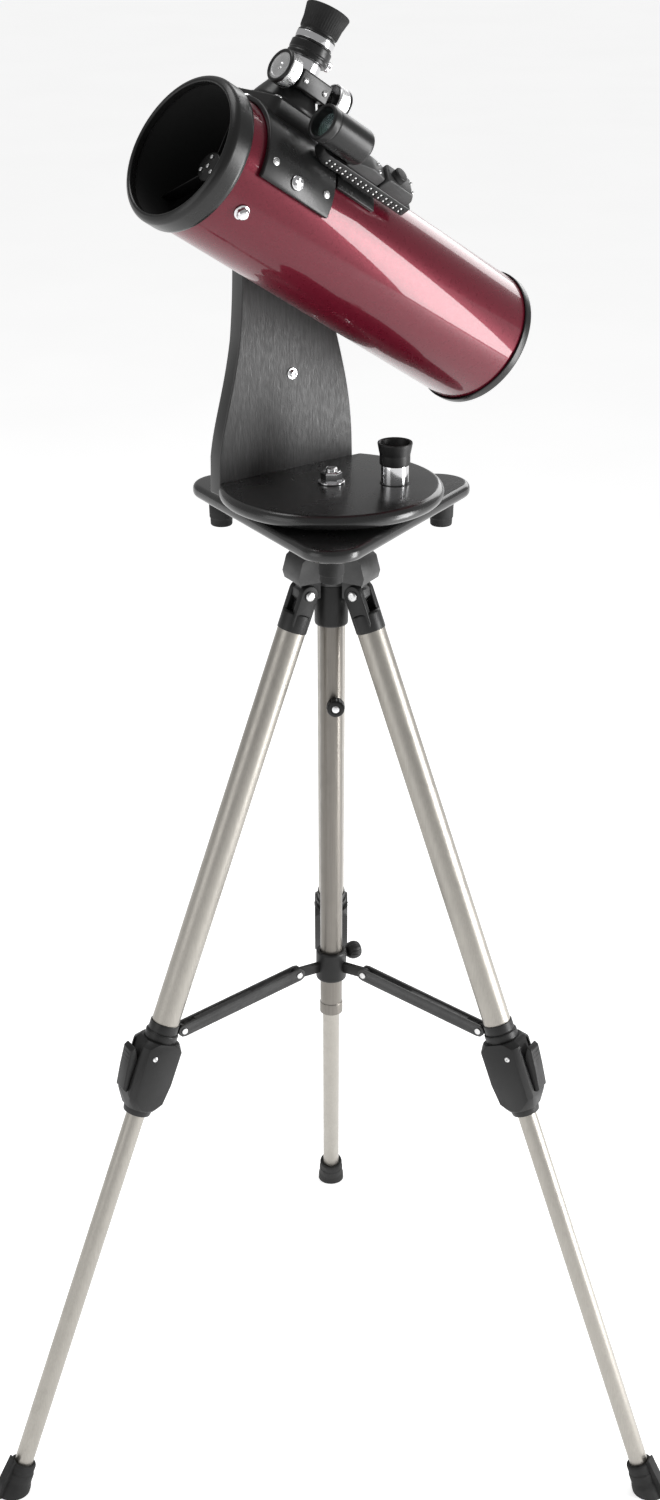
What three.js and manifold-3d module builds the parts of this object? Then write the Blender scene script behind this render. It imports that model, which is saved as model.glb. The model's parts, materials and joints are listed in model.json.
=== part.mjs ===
// A tabletop Newtonian telescope on a one-armed swivel base, standing on a field tripod.
// Millimetres, +Z up. The origin is on the floor, at the middle of the footprint.
import * as THREE from "three";
import { mergeVertices } from "three/addons/utils/BufferGeometryUtils.js";
import Module from "manifold-3d";

const wasm = await Module();
wasm.setup();

// Driving dimensions
const GAP = 0.3; // between pieces that touch
const TUBE_RADIUS = 60;
const TUBE_WALL = 1.6;
const TUBE_LENGTH = 372;
const FRONT_RING_RADIUS = 63.5;
const REAR_RING_RADIUS = 61.8;
const RING_DEPTH = 20;
const ALTITUDE = THREE.MathUtils.degToRad(32.3);
const HEADING = THREE.MathUtils.degToRad(217.1);
const FOCUSER_STATION = 74; // from the open end, along the tube
const SPIDER_STATION = 41;
const FINDER_STATION = 104;

const PLATE_TOP = 974.6;
const PLATE_RADIUS = 100;
const PLATE_THICKNESS = 13;
const ARM_FACE = 56.9; // from the turning axis to the arm's inner face
const ARM_THICKNESS = 16;
const TUBE_TO_ARM = 76; // from the tube's axis to the arm's inner face
const PIVOT_HEIGHT = 209.5; // above the plate
const PIVOT_FORWARD = 6.6;
const BOARD_TOP = 957.3;
const BOARD_THICKNESS = 12;
const BOARD_CORNER_RADIUS = 30;
const BOARD_CORNER_REACH = 111;
const BOARD_SHIFT = 2.5;
const BASE_FOOT_HEIGHT = 27;
const BASE_FOOT_REACH_X = 116;
const BASE_FOOT_REACH_Y = 104;
const RACK_RADIUS = 56;

const HINGE_HEIGHT = 876.6;
const HINGE_RADIUS = 28.6;
const FOOT_CIRCLE = 359.8;
const LEG_AZIMUTHS = [-150, -30, 90];
const LEG_ANGLE = Math.atan2(FOOT_CIRCLE - HINGE_RADIUS, HINGE_HEIGHT);
const LEG_LENGTH = HINGE_HEIGHT / Math.cos(LEG_ANGLE);
const UPPER_RADIUS = 13;
const UPPER_BORE = 11.2;
const LOWER_RADIUS = 9;
const LOCK_TOP = 443; // along the leg from its hinge
const LOCK_LENGTH = 70;
const BRACKET_STATION = 432;
const BRACKET_OFFSET = 20.5; // from the leg's axis to the arm's pin
const HUB_PIN_RADIUS = 38;
const HUB_PIN_HEIGHT = 490;
const ARM_HEIGHT = 12;
const ARM_WIDTH = 11;
const GUIDE_RADIUS = 10.5;
const COLUMN_RADIUS = 8.4;
const COLUMN_BOTTOM = 440;

// The footprint runs from the front feet to the rear foot, so its middle is behind the column.
const FRONT_REACH = FOOT_CIRCLE * Math.sin(Math.PI / 6);
const FOOT_RADIUS = 15;
const FOOTPRINT_MIDDLE = (FOOT_CIRCLE - FRONT_REACH) / 2;

// Materials
const finish = (color, roughness, metalness) => () =>
  new THREE.MeshStandardMaterial({ color, roughness, metalness });
const redPaint = finish(0x7a1c2e, 0.22, 0.35);
const blackPlastic = finish(0x1b1b1d, 0.5, 0);
const softBlack = finish(0x141415, 0.8, 0);
const blackLaminate = finish(0x2a2a2c, 0.42, 0);
const texturedBoard = finish(0x4a4a4a, 0.65, 0);
const greyCasting = finish(0x3c3d3f, 0.45, 0.2);
const champagne = finish(0xa9a49a, 0.35, 0.8);
const darkSteel = finish(0x5b5854, 0.4, 0.7);
const chrome = finish(0xdcdcdc, 0.15, 1);
const mirror = finish(0xe8ecef, 0.03, 1);

// Solid helpers
function tidy(geometry) {
  const bare = geometry.clone();
  bare.deleteAttribute("normal");
  bare.deleteAttribute("uv");
  const merged = mergeVertices(bare, 1e-3);
  const kept = [];
  const index = merged.index.array;
  for (let i = 0; i < index.length; i += 3) {
    const [a, b, c] = [index[i], index[i + 1], index[i + 2]];
    if (a !== b && b !== c && c !== a) kept.push(a, b, c);
  }
  merged.setIndex(kept);
  if (signedVolume(merged) < 0) merged.setIndex(kept.reverse());
  return merged;
}

function signedVolume(geometry) {
  const p = geometry.attributes.position;
  const index = geometry.index.array;
  const [a, b, c] = [new THREE.Vector3(), new THREE.Vector3(), new THREE.Vector3()];
  let volume = 0;
  for (let i = 0; i < index.length; i += 3) {
    a.fromBufferAttribute(p, index[i]);
    b.fromBufferAttribute(p, index[i + 1]);
    c.fromBufferAttribute(p, index[i + 2]);
    volume += a.dot(b.cross(c)) / 6;
  }
  return volume;
}

function toSolid(geometry) {
  const g = tidy(geometry);
  const vertProperties = new Float32Array(g.attributes.position.array);
  const triVerts = new Uint32Array(g.index.array);
  return new wasm.Manifold(new wasm.Mesh({ numProp: 3, vertProperties, triVerts }));
}

function toGeometry(solid) {
  const mesh = solid.getMesh();
  const geometry = new THREE.BufferGeometry();
  geometry.setAttribute("position", new THREE.BufferAttribute(mesh.vertProperties, 3));
  geometry.setIndex(new THREE.BufferAttribute(mesh.triVerts, 1));
  return geometry;
}

const join = (...shapes) => toGeometry(shapes.map(toSolid).reduce((a, b) => a.add(b)));
const cut = (shape, ...tools) =>
  toGeometry(tools.map(toSolid).reduce((a, b) => a.subtract(b), toSolid(shape)));
const common = (a, b) => toGeometry(toSolid(a).intersect(toSolid(b)));

// A profile of [radius, height] pairs turned about Z.
function turned(profile, segments = 16) {
  const points = profile.map(([r, z]) => new THREE.Vector2(r, z));
  return tidy(new THREE.LatheGeometry(points, segments).rotateX(Math.PI / 2));
}

// A closed ring of rectangular section about Z.
const ring = (inner, outer, low, high, segments = 16) =>
  turned([[inner, low], [outer, low], [outer, high], [inner, high], [inner, low]], segments);

const rod = (radius, low, high, segments = 12) =>
  turned([[0, low], [radius, low], [radius, high], [0, high]], segments);

const box = (x, y, z) => new THREE.BoxGeometry(x, y, z);

// A flat outline given in X and Z, extruded evenly to both sides of Y = 0.
function profileXZ(points, width) {
  const shape = new THREE.Shape(points.map(([x, z]) => new THREE.Vector2(x, z)));
  const geometry = new THREE.ExtrudeGeometry(shape, { depth: width, bevelEnabled: false });
  return tidy(geometry.rotateX(Math.PI / 2).translate(0, width / 2, 0));
}

// A round-ended link in the XZ plane between two points, extruded evenly about Y = 0.
function link(x0, z0, x1, z1, radius, width, steps = 4) {
  const along = Math.atan2(z1 - z0, x1 - x0);
  const outline = [];
  for (const [x, z, start] of [[x1, z1, along - Math.PI / 2], [x0, z0, along + Math.PI / 2]])
    for (let i = 0; i <= steps; i++) {
      const a = start + (Math.PI * i) / steps;
      outline.push([x + radius * Math.cos(a), z + radius * Math.sin(a)]);
    }
  return profileXZ(outline, width);
}

const alongX = (geometry) => geometry.rotateY(Math.PI / 2); // +Z becomes +X
const alongY = (geometry) => geometry.rotateX(-Math.PI / 2); // +Z becomes +Y

function piece(name, geometry, material) {
  const clean = tidy(geometry);
  clean.computeVertexNormals();
  const mesh = new THREE.Mesh(clean, material());
  mesh.name = name;
  return mesh;
}

// Optical tube: +X runs along the axis to the open end, +Y is the side away from the arm.
const FRONT = TUBE_LENGTH / 2;
const REAR = -TUBE_LENGTH / 2;
const DRAWTUBE_RADIUS = 14;
const DRAWTUBE_HOLE = 17;

function opticalTube() {
  const wall = [
    [TUBE_RADIUS - TUBE_WALL, REAR + 2],
    [TUBE_RADIUS, REAR + 2],
    [TUBE_RADIUS, FRONT - 2],
    [TUBE_RADIUS - TUBE_WALL, FRONT - 2],
    [TUBE_RADIUS - TUBE_WALL, REAR + 2],
  ];
  const shell = alongX(turned(wall, 32));
  const hole = rod(DRAWTUBE_HOLE, 40, 80, 14).translate(FRONT - FOCUSER_STATION, 0, 0);
  return piece("optical_tube", cut(shell, hole), redPaint);
}

function frontRing() {
  const inner = TUBE_RADIUS - TUBE_WALL - GAP;
  const lip = 56.5;
  const seat = TUBE_RADIUS + GAP;
  const profile = [
    [lip, FRONT + 1],
    [lip, FRONT - 5],
    [inner, FRONT - 5],
    [inner, FRONT - 2 + GAP],
    [seat, FRONT - 2 + GAP],
    [seat, FRONT - RING_DEPTH],
    [FRONT_RING_RADIUS, FRONT - RING_DEPTH],
    [FRONT_RING_RADIUS, FRONT - 3],
    [FRONT_RING_RADIUS - 2, FRONT],
    [lip + 2, FRONT + 2],
    [lip, FRONT + 1],
  ];
  return piece("front_ring", alongX(turned(profile, 32)), blackPlastic);
}

function rearRing() {
  const seat = TUBE_RADIUS + GAP;
  const profile = [
    [46, REAR],
    [REAR_RING_RADIUS - 2, REAR],
    [REAR_RING_RADIUS, REAR + 3],
    [REAR_RING_RADIUS, REAR + 10],
    [seat, REAR + 10],
    [seat, REAR + 2 - GAP],
    [46, REAR + 2 - GAP],
    [46, REAR],
  ];
  return piece("rear_ring", alongX(turned(profile, 32)), blackPlastic);
}

function mirrorCell() {
  const plate = rod(57, REAR + 3, REAR + 11, 28);
  const openings = [0, 1, 2].map((i) => {
    const slot = ring(20, 40, REAR, REAR + 20, 28);
    const angle = (i * 2 * Math.PI) / 3;
    const wedge = profileXZ([[0, 0], [60, -34], [60, 34]], 40);
    wedge.rotateX(Math.PI / 2).rotateZ(angle).translate(0, 0, REAR + 10);
    return common(slot, wedge);
  });
  return piece("mirror_cell", alongX(cut(plate, ...openings)), greyCasting);
}

function primaryMirror() {
  const profile = [
    [0, REAR + 11.5],
    [50, REAR + 11.5],
    [50, REAR + 25],
    [34, REAR + 23.7],
    [17, REAR + 22.9],
    [0, REAR + 22.6],
  ];
  return piece("primary_mirror", alongX(turned(profile, 28)), mirror);
}

const SPIDER_X = FRONT - SPIDER_STATION;

function spider() {
  const reach = TUBE_RADIUS - TUBE_WALL - 3 * GAP;
  const vanes = [-4, 116, 236].map((degrees) => {
    const vane = box(12, 1.2, reach - 9).translate(0, 0, (reach + 9) / 2);
    const boss = rod(4, reach - 7, reach, 8);
    return join(vane, boss).rotateX(-THREE.MathUtils.degToRad(degrees));
  });
  const hub = alongX(ring(3.2, 11, -6, 6, 14));
  return piece("spider", join(hub, ...vanes).translate(SPIDER_X, 0, 0), softBlack);
}

function secondary() {
  const front = SPIDER_X - 6 - GAP;
  const middle = FRONT - FOCUSER_STATION;
  const thick = 5;
  const disc = rod(17.5, -thick, 0, 14).scale(1, 0.72, 1);
  disc.rotateY(-Math.PI / 4).translate(middle, 0, 0);
  const opening = box(80, 80, 60).translate(0, 0, 30 - thick - GAP);
  opening.rotateY(-Math.PI / 4).translate(middle, 0, 0);
  const body = alongX(rod(12.5, middle - 16, front, 14));
  const holder = cut(body, opening);
  return [piece("secondary_holder", holder, blackPlastic), piece("secondary_mirror", disc, mirror)];
}

// Focuser: built about its own axis, +Z out of the tube, +X to the open end.
const KNOB_HEIGHT = 94;
const PINION_SIDE = 20.5; // from the drawtube's axis to the pinion's
const HOUSING_TOP = 104;
const DRAW_TOP = 126;

function focuserBase() {
  const saddle = ring(TUBE_RADIUS + GAP, TUBE_RADIUS + 5, -38, 38, 32);
  const sector = [[0, 0]];
  for (const degrees of [-44, -20, 10, 40, 65, 87]) {
    const a = THREE.MathUtils.degToRad(degrees);
    sector.push([120 * Math.sin(a), 120 * Math.cos(a)]);
  }
  const wedge = profileXZ(sector, 90).rotateZ(Math.PI / 2);
  const pad = box(66, 62, 22).translate(0, 0, 60);
  const tube = alongX(rod(TUBE_RADIUS + GAP, -60, 60, 32));
  const plate = common(alongX(saddle), wedge);
  const bore = rod(DRAWTUBE_HOLE, 20, 100, 16);
  return piece("focuser_base", cut(join(plate, pad), tube, bore), blackPlastic);
}

function focuserHousing() {
  const foot = 71 + GAP;
  const profile = [
    [DRAWTUBE_RADIUS + 0.5, foot],
    [28, foot],
    [27, foot + 6],
    [21, foot + 16],
    [18.5, HOUSING_TOP],
    [DRAWTUBE_RADIUS + 0.5, HOUSING_TOP],
    [DRAWTUBE_RADIUS + 0.5, foot],
  ];
  const barrel = turned(profile, 18);
  const gearbox = box(34, 18, 16).translate(0, PINION_SIDE - 2, KNOB_HEIGHT);
  const bore = rod(DRAWTUBE_RADIUS + 0.5, 40, 130, 18);
  const shaftBore = alongX(rod(3.4, -40, 40, 10)).translate(0, PINION_SIDE, KNOB_HEIGHT);
  const rackSlot = box(6.6, 10, 60).translate(0, DRAWTUBE_RADIUS, KNOB_HEIGHT);
  const pinionRoom = alongX(rod(6.2, -7, 7, 12)).translate(0, PINION_SIDE, KNOB_HEIGHT);
  const shape = cut(join(barrel, gearbox), bore, shaftBore, rackSlot, pinionRoom);
  return piece("focuser_housing", shape, blackPlastic);
}

function drawtube() {
  const low = 52;
  const tube = ring(12.6, DRAWTUBE_RADIUS, low, DRAW_TOP, 18);
  const rack = box(5, 2.4, 56).translate(0, DRAWTUBE_RADIUS + 0.2, 84);
  const collar = ring(12.6, 17.5, DRAW_TOP - 12, DRAW_TOP, 18);
  const screwHole = alongX(rod(2.3, -30, 0, 8)).translate(0, 0, DRAW_TOP - 6);
  return piece("drawtube", cut(join(tube, rack, collar), screwHole), chrome);
}

const KNOB_RADIUS = 14.2;
const KNOB_INNER = 22;
const KNOB_OUTER = 36;

function pinionShaft() {
  const shaft = rod(3, -KNOB_OUTER + 4, KNOB_OUTER - 4, 10);
  const gear = rod(4.4, -5, 5, 10);
  const shape = alongX(join(shaft, gear)).translate(0, PINION_SIDE, KNOB_HEIGHT);
  return piece("pinion_shaft", shape, chrome);
}

function focusKnob(name, side) {
  const profile = [
    [3 + GAP, KNOB_INNER],
    [KNOB_RADIUS - 1.5, KNOB_INNER],
    [KNOB_RADIUS, KNOB_INNER + 2],
    [KNOB_RADIUS, KNOB_OUTER - 2],
    [KNOB_RADIUS - 1.5, KNOB_OUTER],
    [0, KNOB_OUTER - 1],
    [0, KNOB_OUTER - 4 + GAP],
    [3 + GAP, KNOB_OUTER - 4 + GAP],
    [3 + GAP, KNOB_INNER],
  ];
  const knob = alongX(turned(profile, 16)).rotateZ(side > 0 ? 0 : Math.PI);
  return piece(name, knob.translate(0, PINION_SIDE, KNOB_HEIGHT), chrome);
}

function eyepieceScrew() {
  const stem = rod(2, 13, 19, 8);
  const head = rod(4.5, 18.5, 24, 12);
  const shape = alongX(join(stem, head)).rotateZ(Math.PI).translate(0, 0, DRAW_TOP - 6);
  return piece("eyepiece_screw", shape, chrome);
}

function eyepiece() {
  const barrel = ring(10.8, 12.25, DRAW_TOP - 22, DRAW_TOP + GAP, 16);
  const base = DRAW_TOP + 2 * GAP;
  const profile = [
    [9, base],
    [16, base],
    [16.5, base + 8],
    [15.5, base + 9],
    [17, base + 20],
    [19, base + 31],
    [16, base + 31],
    [13, base + 22],
    [9, base + 20],
    [9, base],
  ];
  return [
    piece("eyepiece_barrel", barrel, chrome),
    piece("eyepiece_body", turned(profile, 18), softBlack),
  ];
}

// Reflex finder, on the side of the tube away from the arm.
const FINDER_ANGLE = THREE.MathUtils.degToRad(45);
const FINDER_LOW = 66.3; // from the tube's axis to the rail's underside
const FINDER_RAIL = 10.5;
const HOOD_RADIUS = 15.5;

function finder() {
  const foot = common(
    alongX(ring(TUBE_RADIUS + GAP, TUBE_RADIUS + 3.5, -22, 22, 36)),
    box(80, 34, 90).translate(0, 0, 40),
  );
  const post = box(40, 12, 8).translate(0, 0, FINDER_LOW - GAP - 4);
  const tube = alongX(rod(TUBE_RADIUS + GAP, -60, 60, 36));
  const bracket = cut(join(foot, post), tube).translate(-33, 0, 0);
  const top = FINDER_LOW + FINDER_RAIL;
  const rail = box(104, 20, FINDER_RAIL).translate(-33, 0, FINDER_LOW + FINDER_RAIL / 2);
  const tail = box(34, 18, 13).translate(-62, 0, top + 6);
  const hoodAxis = top + GAP + HOOD_RADIUS;
  const hood = alongX(ring(12, HOOD_RADIUS, -8, 38, 16)).translate(0, 0, hoodAxis);
  const knob = rod(6.5, top + 12.5 + GAP, top + 18, 12).translate(-56, 0, 0);
  const group = new THREE.Group();
  group.add(
    piece("finder_bracket", bracket, blackPlastic),
    piece("finder_body", join(rail, tail), blackPlastic),
    piece("finder_hood", hood, blackPlastic),
    piece("finder_knob", knob, softBlack),
  );
  group.rotation.x = -FINDER_ANGLE;
  group.position.x = FRONT - FINDER_STATION;
  return group;
}

// Altitude bearing, between the tube and the arm.
const BAR_FACE = 67.2;

function dovetailBar() {
  const section = [[-BAR_FACE, -17], [-BAR_FACE, 17], [-54, 13], [-54, -13]];
  const bar = profileXZ(section, 130).rotateZ(Math.PI / 2);
  const tube = alongX(rod(TUBE_RADIUS + GAP, -100, 100, 32));
  return piece("dovetail_bar", cut(bar, tube), blackPlastic);
}

function altitudeHub() {
  const low = -TUBE_TO_ARM - ARM_THICKNESS - 14; // the axle's end, inside the knob
  const profile = [
    [0, low],
    [6, low],
    [6, -TUBE_TO_ARM + 0.6],
    [25, -TUBE_TO_ARM + 0.6],
    [25, -BAR_FACE - GAP],
    [0, -BAR_FACE - GAP],
  ];
  return piece("altitude_hub", alongY(turned(profile, 18)), blackPlastic);
}

function tubeGroup() {
  const group = new THREE.Group();
  group.add(opticalTube(), frontRing(), rearRing(), mirrorCell(), primaryMirror(), spider());
  group.add(...secondary(), dovetailBar(), altitudeHub(), finder());
  const focuser = new THREE.Group();
  focuser.add(focuserBase(), focuserHousing(), drawtube(), pinionShaft());
  focuser.add(focusKnob("focus_knob_front", 1), focusKnob("focus_knob_rear", -1));
  focuser.add(eyepieceScrew(), ...eyepiece());
  focuser.position.x = FRONT - FOCUSER_STATION;
  group.add(focuser);
  group.position.set(PIVOT_FORWARD, TUBE_TO_ARM - ARM_FACE, PIVOT_HEIGHT);
  group.rotation.y = -ALTITUDE;
  return group;
}

// Turntable: heights are above the plate's top face.
function sideArm() {
  const shape = new THREE.Shape();
  const foot = -PLATE_THICKNESS + 1;
  shape.moveTo(-68, foot);
  shape.lineTo(80.3, foot);
  shape.lineTo(79.8, 21);
  shape.bezierCurveTo(76, 52, 64, 78, 57, 122);
  shape.bezierCurveTo(54, 150, 53, 175, 52.6, PIVOT_HEIGHT);
  shape.absarc(PIVOT_FORWARD, PIVOT_HEIGHT, 46, 0, Math.PI, false);
  shape.bezierCurveTo(-39.4, 175, -41, 150, -48, 122);
  shape.bezierCurveTo(-58, 85, -65, 60, -67, 21);
  shape.closePath();
  const settings = { depth: ARM_THICKNESS, bevelEnabled: false, curveSegments: 10 };
  const board = new THREE.ExtrudeGeometry(shape, settings).rotateX(Math.PI / 2);
  board.translate(0, -ARM_FACE, 0);
  const bore = alongY(rod(6.3, -90, -30, 14)).translate(PIVOT_FORWARD, 0, PIVOT_HEIGHT);
  return piece("side_arm", cut(board, bore), texturedBoard);
}

function altitudeKnob() {
  const near = ARM_FACE + ARM_THICKNESS + GAP;
  const profile = [
    [6.3, -near],
    [17, -near],
    [23, -near - 5],
    [23, -near - 16],
    [20, -near - 19],
    [0, -near - 19],
    [0, -near - 15],
    [6.3, -near - 15],
    [6.3, -near],
  ];
  const knob = alongY(turned(profile, 16)).translate(PIVOT_FORWARD, 0, PIVOT_HEIGHT);
  return piece("altitude_knob", knob, softBlack);
}

const RACK_X = -RACK_RADIUS * Math.cos(HEADING - Math.PI);
const RACK_Y = RACK_RADIUS * Math.sin(HEADING - Math.PI);

function topPlate() {
  const round = PLATE_THICKNESS / 2;
  const profile = [[0, -PLATE_THICKNESS]];
  for (let i = 0; i <= 4; i++) {
    const a = -Math.PI / 2 + (Math.PI * i) / 4;
    profile.push([PLATE_RADIUS - round + round * Math.cos(a), -round + round * Math.sin(a)]);
  }
  profile.push([0, 0]);
  const disc = turned(profile, 36);
  const chord = box(240, 60, 60).translate(0, -ARM_FACE + GAP - 30, 0);
  const pivot = rod(5.4, -30, 30, 14);
  const rack = rod(12.8, -30, 30, 16).translate(RACK_X, RACK_Y, 0);
  return piece("top_plate", cut(disc, chord, pivot, rack), blackLaminate);
}

function spareEyepiece() {
  const barrel = ring(10.8, 12.3, -11, 17, 16);
  const low = 17 + GAP;
  const profile = [
    [9, low],
    [13.6, low],
    [13.6, low + 9],
    [14.4, low + 12],
    [15.6, low + 20],
    [13, low + 20],
    [12, low + 13],
    [9, low + 13],
    [9, low],
  ];
  const pieces = [
    piece("spare_eyepiece_barrel", barrel, chrome),
    piece("spare_eyepiece_cap", turned(profile, 16), softBlack),
  ];
  for (const p of pieces) p.position.set(RACK_X, RACK_Y, 0);
  return pieces;
}

function turntable() {
  const group = new THREE.Group();
  group.add(sideArm(), altitudeKnob(), topPlate(), ...spareEyepiece(), tubeGroup());
  group.rotation.z = HEADING;
  group.position.z = PLATE_TOP;
  return group;
}

// Ground board: a rounded triangle with one corner to the front.
const CORNERS = [-90, 30, 150].map((d) => THREE.MathUtils.degToRad(d));

function groundBoard() {
  const edge = 5;
  const outline = [];
  for (const a of CORNERS)
    for (let i = -5; i <= 5; i++) {
      const b = a + (i / 5) * (Math.PI / 3);
      outline.push(
        new THREE.Vector2(
          BOARD_CORNER_REACH * Math.cos(a) + (BOARD_CORNER_RADIUS - edge) * Math.cos(b),
          BOARD_CORNER_REACH * Math.sin(a) + (BOARD_CORNER_RADIUS - edge) * Math.sin(b),
        ),
      );
    }
  const settings = {
    depth: BOARD_THICKNESS - 2 * edge,
    bevelThickness: edge,
    bevelSize: edge,
    bevelSegments: 2,
  };
  const board = new THREE.ExtrudeGeometry(new THREE.Shape(outline), settings);
  board.translate(0, BOARD_SHIFT, BOARD_TOP - BOARD_THICKNESS + edge);
  const bore = rod(5.4, BOARD_TOP - 8, BOARD_TOP + 10, 14);
  return piece("ground_board", cut(board, bore), blackLaminate);
}

function azimuthBearing() {
  const top = PLATE_TOP - PLATE_THICKNESS - GAP;
  const bearing = ring(60, 76, BOARD_TOP + GAP, top, 32);
  const bolt = rod(5, BOARD_TOP - 8 + GAP, PLATE_TOP + 14, 12);
  const nut = [
    [5.3, PLATE_TOP + GAP],
    [12, PLATE_TOP + GAP],
    [12, PLATE_TOP + 2],
    [8.6, PLATE_TOP + 2.6],
    [8.6, PLATE_TOP + 10],
    [5.3, PLATE_TOP + 11],
    [5.3, PLATE_TOP + GAP],
  ];
  return [
    piece("bearing_ring", bearing, softBlack),
    piece("azimuth_bolt", bolt, chrome),
    piece("azimuth_nut", turned(nut, 14), chrome),
  ];
}

function baseFeet() {
  const under = BOARD_TOP - BOARD_THICKNESS - GAP;
  return CORNERS.map((a, i) => {
    const sole = under - BASE_FOOT_HEIGHT;
    const profile = [[0, sole], [10, sole], [11.5, under], [0, under]];
    const foot = piece("base_foot_" + (i + 1), turned(profile, 14), softBlack);
    foot.position.set(BASE_FOOT_REACH_X * Math.cos(a), BASE_FOOT_REACH_Y * Math.sin(a) + BOARD_SHIFT, 0);
    return foot;
  });
}

// Tripod: the crown, its guide tube and the column that slides in it.
const CROWN_TOP = 930;
const CROWN_BOTTOM = 843;
const LUG_WIDTH = 11;
const LUG_RADIUS = 9;

function tripodCrown() {
  const bore = rod(GUIDE_RADIUS + GAP, 800, 960, 16);
  const barrel = [[0, CROWN_BOTTOM], [15, CROWN_BOTTOM], [15, 884], [18, 890], [18, CROWN_TOP]];
  const core = turned([...barrel, [0, CROWN_TOP]], 28);
  const shapes = LEG_AZIMUTHS.map((degrees) => {
    const roof = [[8, CROWN_TOP - 4], [20, CROWN_TOP - 6], [38, 910], [42, 896], [40, 889], [8, 889]];
    const shoulder = profileXZ(roof, 30);
    const lug = link(10, HINGE_HEIGHT + 4, HINGE_RADIUS, HINGE_HEIGHT, LUG_RADIUS, LUG_WIDTH);
    const web = box(24, LUG_WIDTH, 20).translate(22, 0, HINGE_HEIGHT + 8);
    const pin = alongY(rod(3, -13.5, 13.5, 10)).translate(HINGE_RADIUS, 0, HINGE_HEIGHT);
    return join(shoulder, lug, web, pin).rotateZ(THREE.MathUtils.degToRad(degrees));
  });
  return piece("tripod_crown", cut(join(core, ...shapes), bore), greyCasting);
}

const KNOB_SIDE = 4; // the column's knob is a little to the side of the middle
const KNOB_LEVEL = 766;

function guideTube() {
  const tube = ring(COLUMN_RADIUS + 0.4, GUIDE_RADIUS, COLUMN_BOTTOM, CROWN_TOP - 6, 16);
  const screwHole = alongY(rod(2.6, -20, 0, 8)).translate(KNOB_SIDE, 0, KNOB_LEVEL);
  return piece("guide_tube", cut(tube, screwHole), darkSteel);
}

function columnKnob() {
  const stem = [[0, 8.7], [2.3, 8.7], [2.3, 11.5]];
  const head = [[7.5, 11.5], [8.5, 14], [8.5, 21], [7, 23], [0, 23]];
  const knob = alongY(turned([...stem, ...head], 14)).rotateZ(Math.PI);
  knob.translate(KNOB_SIDE, 0, KNOB_LEVEL);
  return piece("column_knob", knob, softBlack);
}

function crownLever() {
  const stem = rod(3, 19.6, 26, 10);
  const grip = join(rod(6, 25.5, 34, 10), box(22, 7, 6).translate(-8, 0, 30));
  const lever = alongX(join(stem, grip)).rotateZ(THREE.MathUtils.degToRad(150));
  return piece("crown_lever", lever.translate(0, 0, 917), softBlack);
}

function centreColumn() {
  const top = BOARD_TOP - BOARD_THICKNESS - GAP;
  const profile = [
    [0, COLUMN_BOTTOM + 20],
    [COLUMN_RADIUS, COLUMN_BOTTOM + 20],
    [COLUMN_RADIUS, CROWN_TOP + 1],
    [26, CROWN_TOP + 5],
    [26, top],
    [0, top],
  ];
  return piece("centre_column", turned(profile, 18), darkSteel);
}

// A leg hangs from its hinge along local -Z, with local +X on its outer side.
function upperLeg(i) {
  const tube = ring(UPPER_BORE, UPPER_RADIUS, -LOCK_TOP - 36, -20, 16);
  const plug = rod(12.8, -34, -18, 16);
  const cheek = link(0, 0, 0, -26, LUG_RADIUS, 6);
  const cheeks = [-1, 1].map((side) => cheek.clone().translate(0, side * (LUG_WIDTH / 2 + 3.4), 0));
  const yoke = cut(join(plug, ...cheeks), alongY(rod(3.3, -20, 20, 10)));
  const tab = link(-UPPER_RADIUS + 1, -BRACKET_STATION, -BRACKET_OFFSET, -BRACKET_STATION, 5, 4.4);
  const pin = alongY(rod(1.8, -4.9, 4.9, 8)).translate(-BRACKET_OFFSET, 0, -BRACKET_STATION);
  const bore = rod(UPPER_BORE, -LOCK_TOP - 60, -34, 16);
  return piece("upper_leg_" + i, join(cut(join(tube, yoke, tab), bore), pin), champagne);
}

function legLock(i) {
  const side = [
    [-17, 0],
    [17, 0],
    [22, -6],
    [22, -LOCK_LENGTH + 16],
    [15, -LOCK_LENGTH],
    [-13, -LOCK_LENGTH],
    [-17, -40],
  ];
  const block = profileXZ(side, 34);
  const round = turned(
    [[0, 2], [17, 2], [24, -6], [24, -LOCK_LENGTH + 12], [15, -LOCK_LENGTH - 2], [0, -LOCK_LENGTH - 2]],
    24,
  );
  const body = common(block, round).translate(0, 0, -LOCK_TOP);
  const upperBore = rod(UPPER_RADIUS + GAP, -LOCK_TOP - 37, -LOCK_TOP + 10, 16);
  const lowerBore = rod(LOWER_RADIUS + GAP, -LOCK_TOP - 90, -LOCK_TOP, 16);
  const slot = box(10, 17, 58).translate(25.2, 0, -LOCK_TOP - 31);
  return piece("leg_lock_" + i, cut(body, upperBore, lowerBore, slot), softBlack);
}

function lockLever(i) {
  const side = [[0, -2.6], [3.2, -0.5], [6, 20], [8, 40], [5, 44], [1, 38], [-2.6, 30], [-2.6, -1]];
  const lever = profileXZ(side, 16).translate(23.4, 0, -LOCK_TOP - 52);
  return piece("lock_lever_" + i, lever, softBlack);
}

function lowerLeg(i) {
  const tube = ring(7.6, LOWER_RADIUS, -LEG_LENGTH + 16, -390, 14);
  return piece("lower_leg_" + i, tube, champagne);
}

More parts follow.
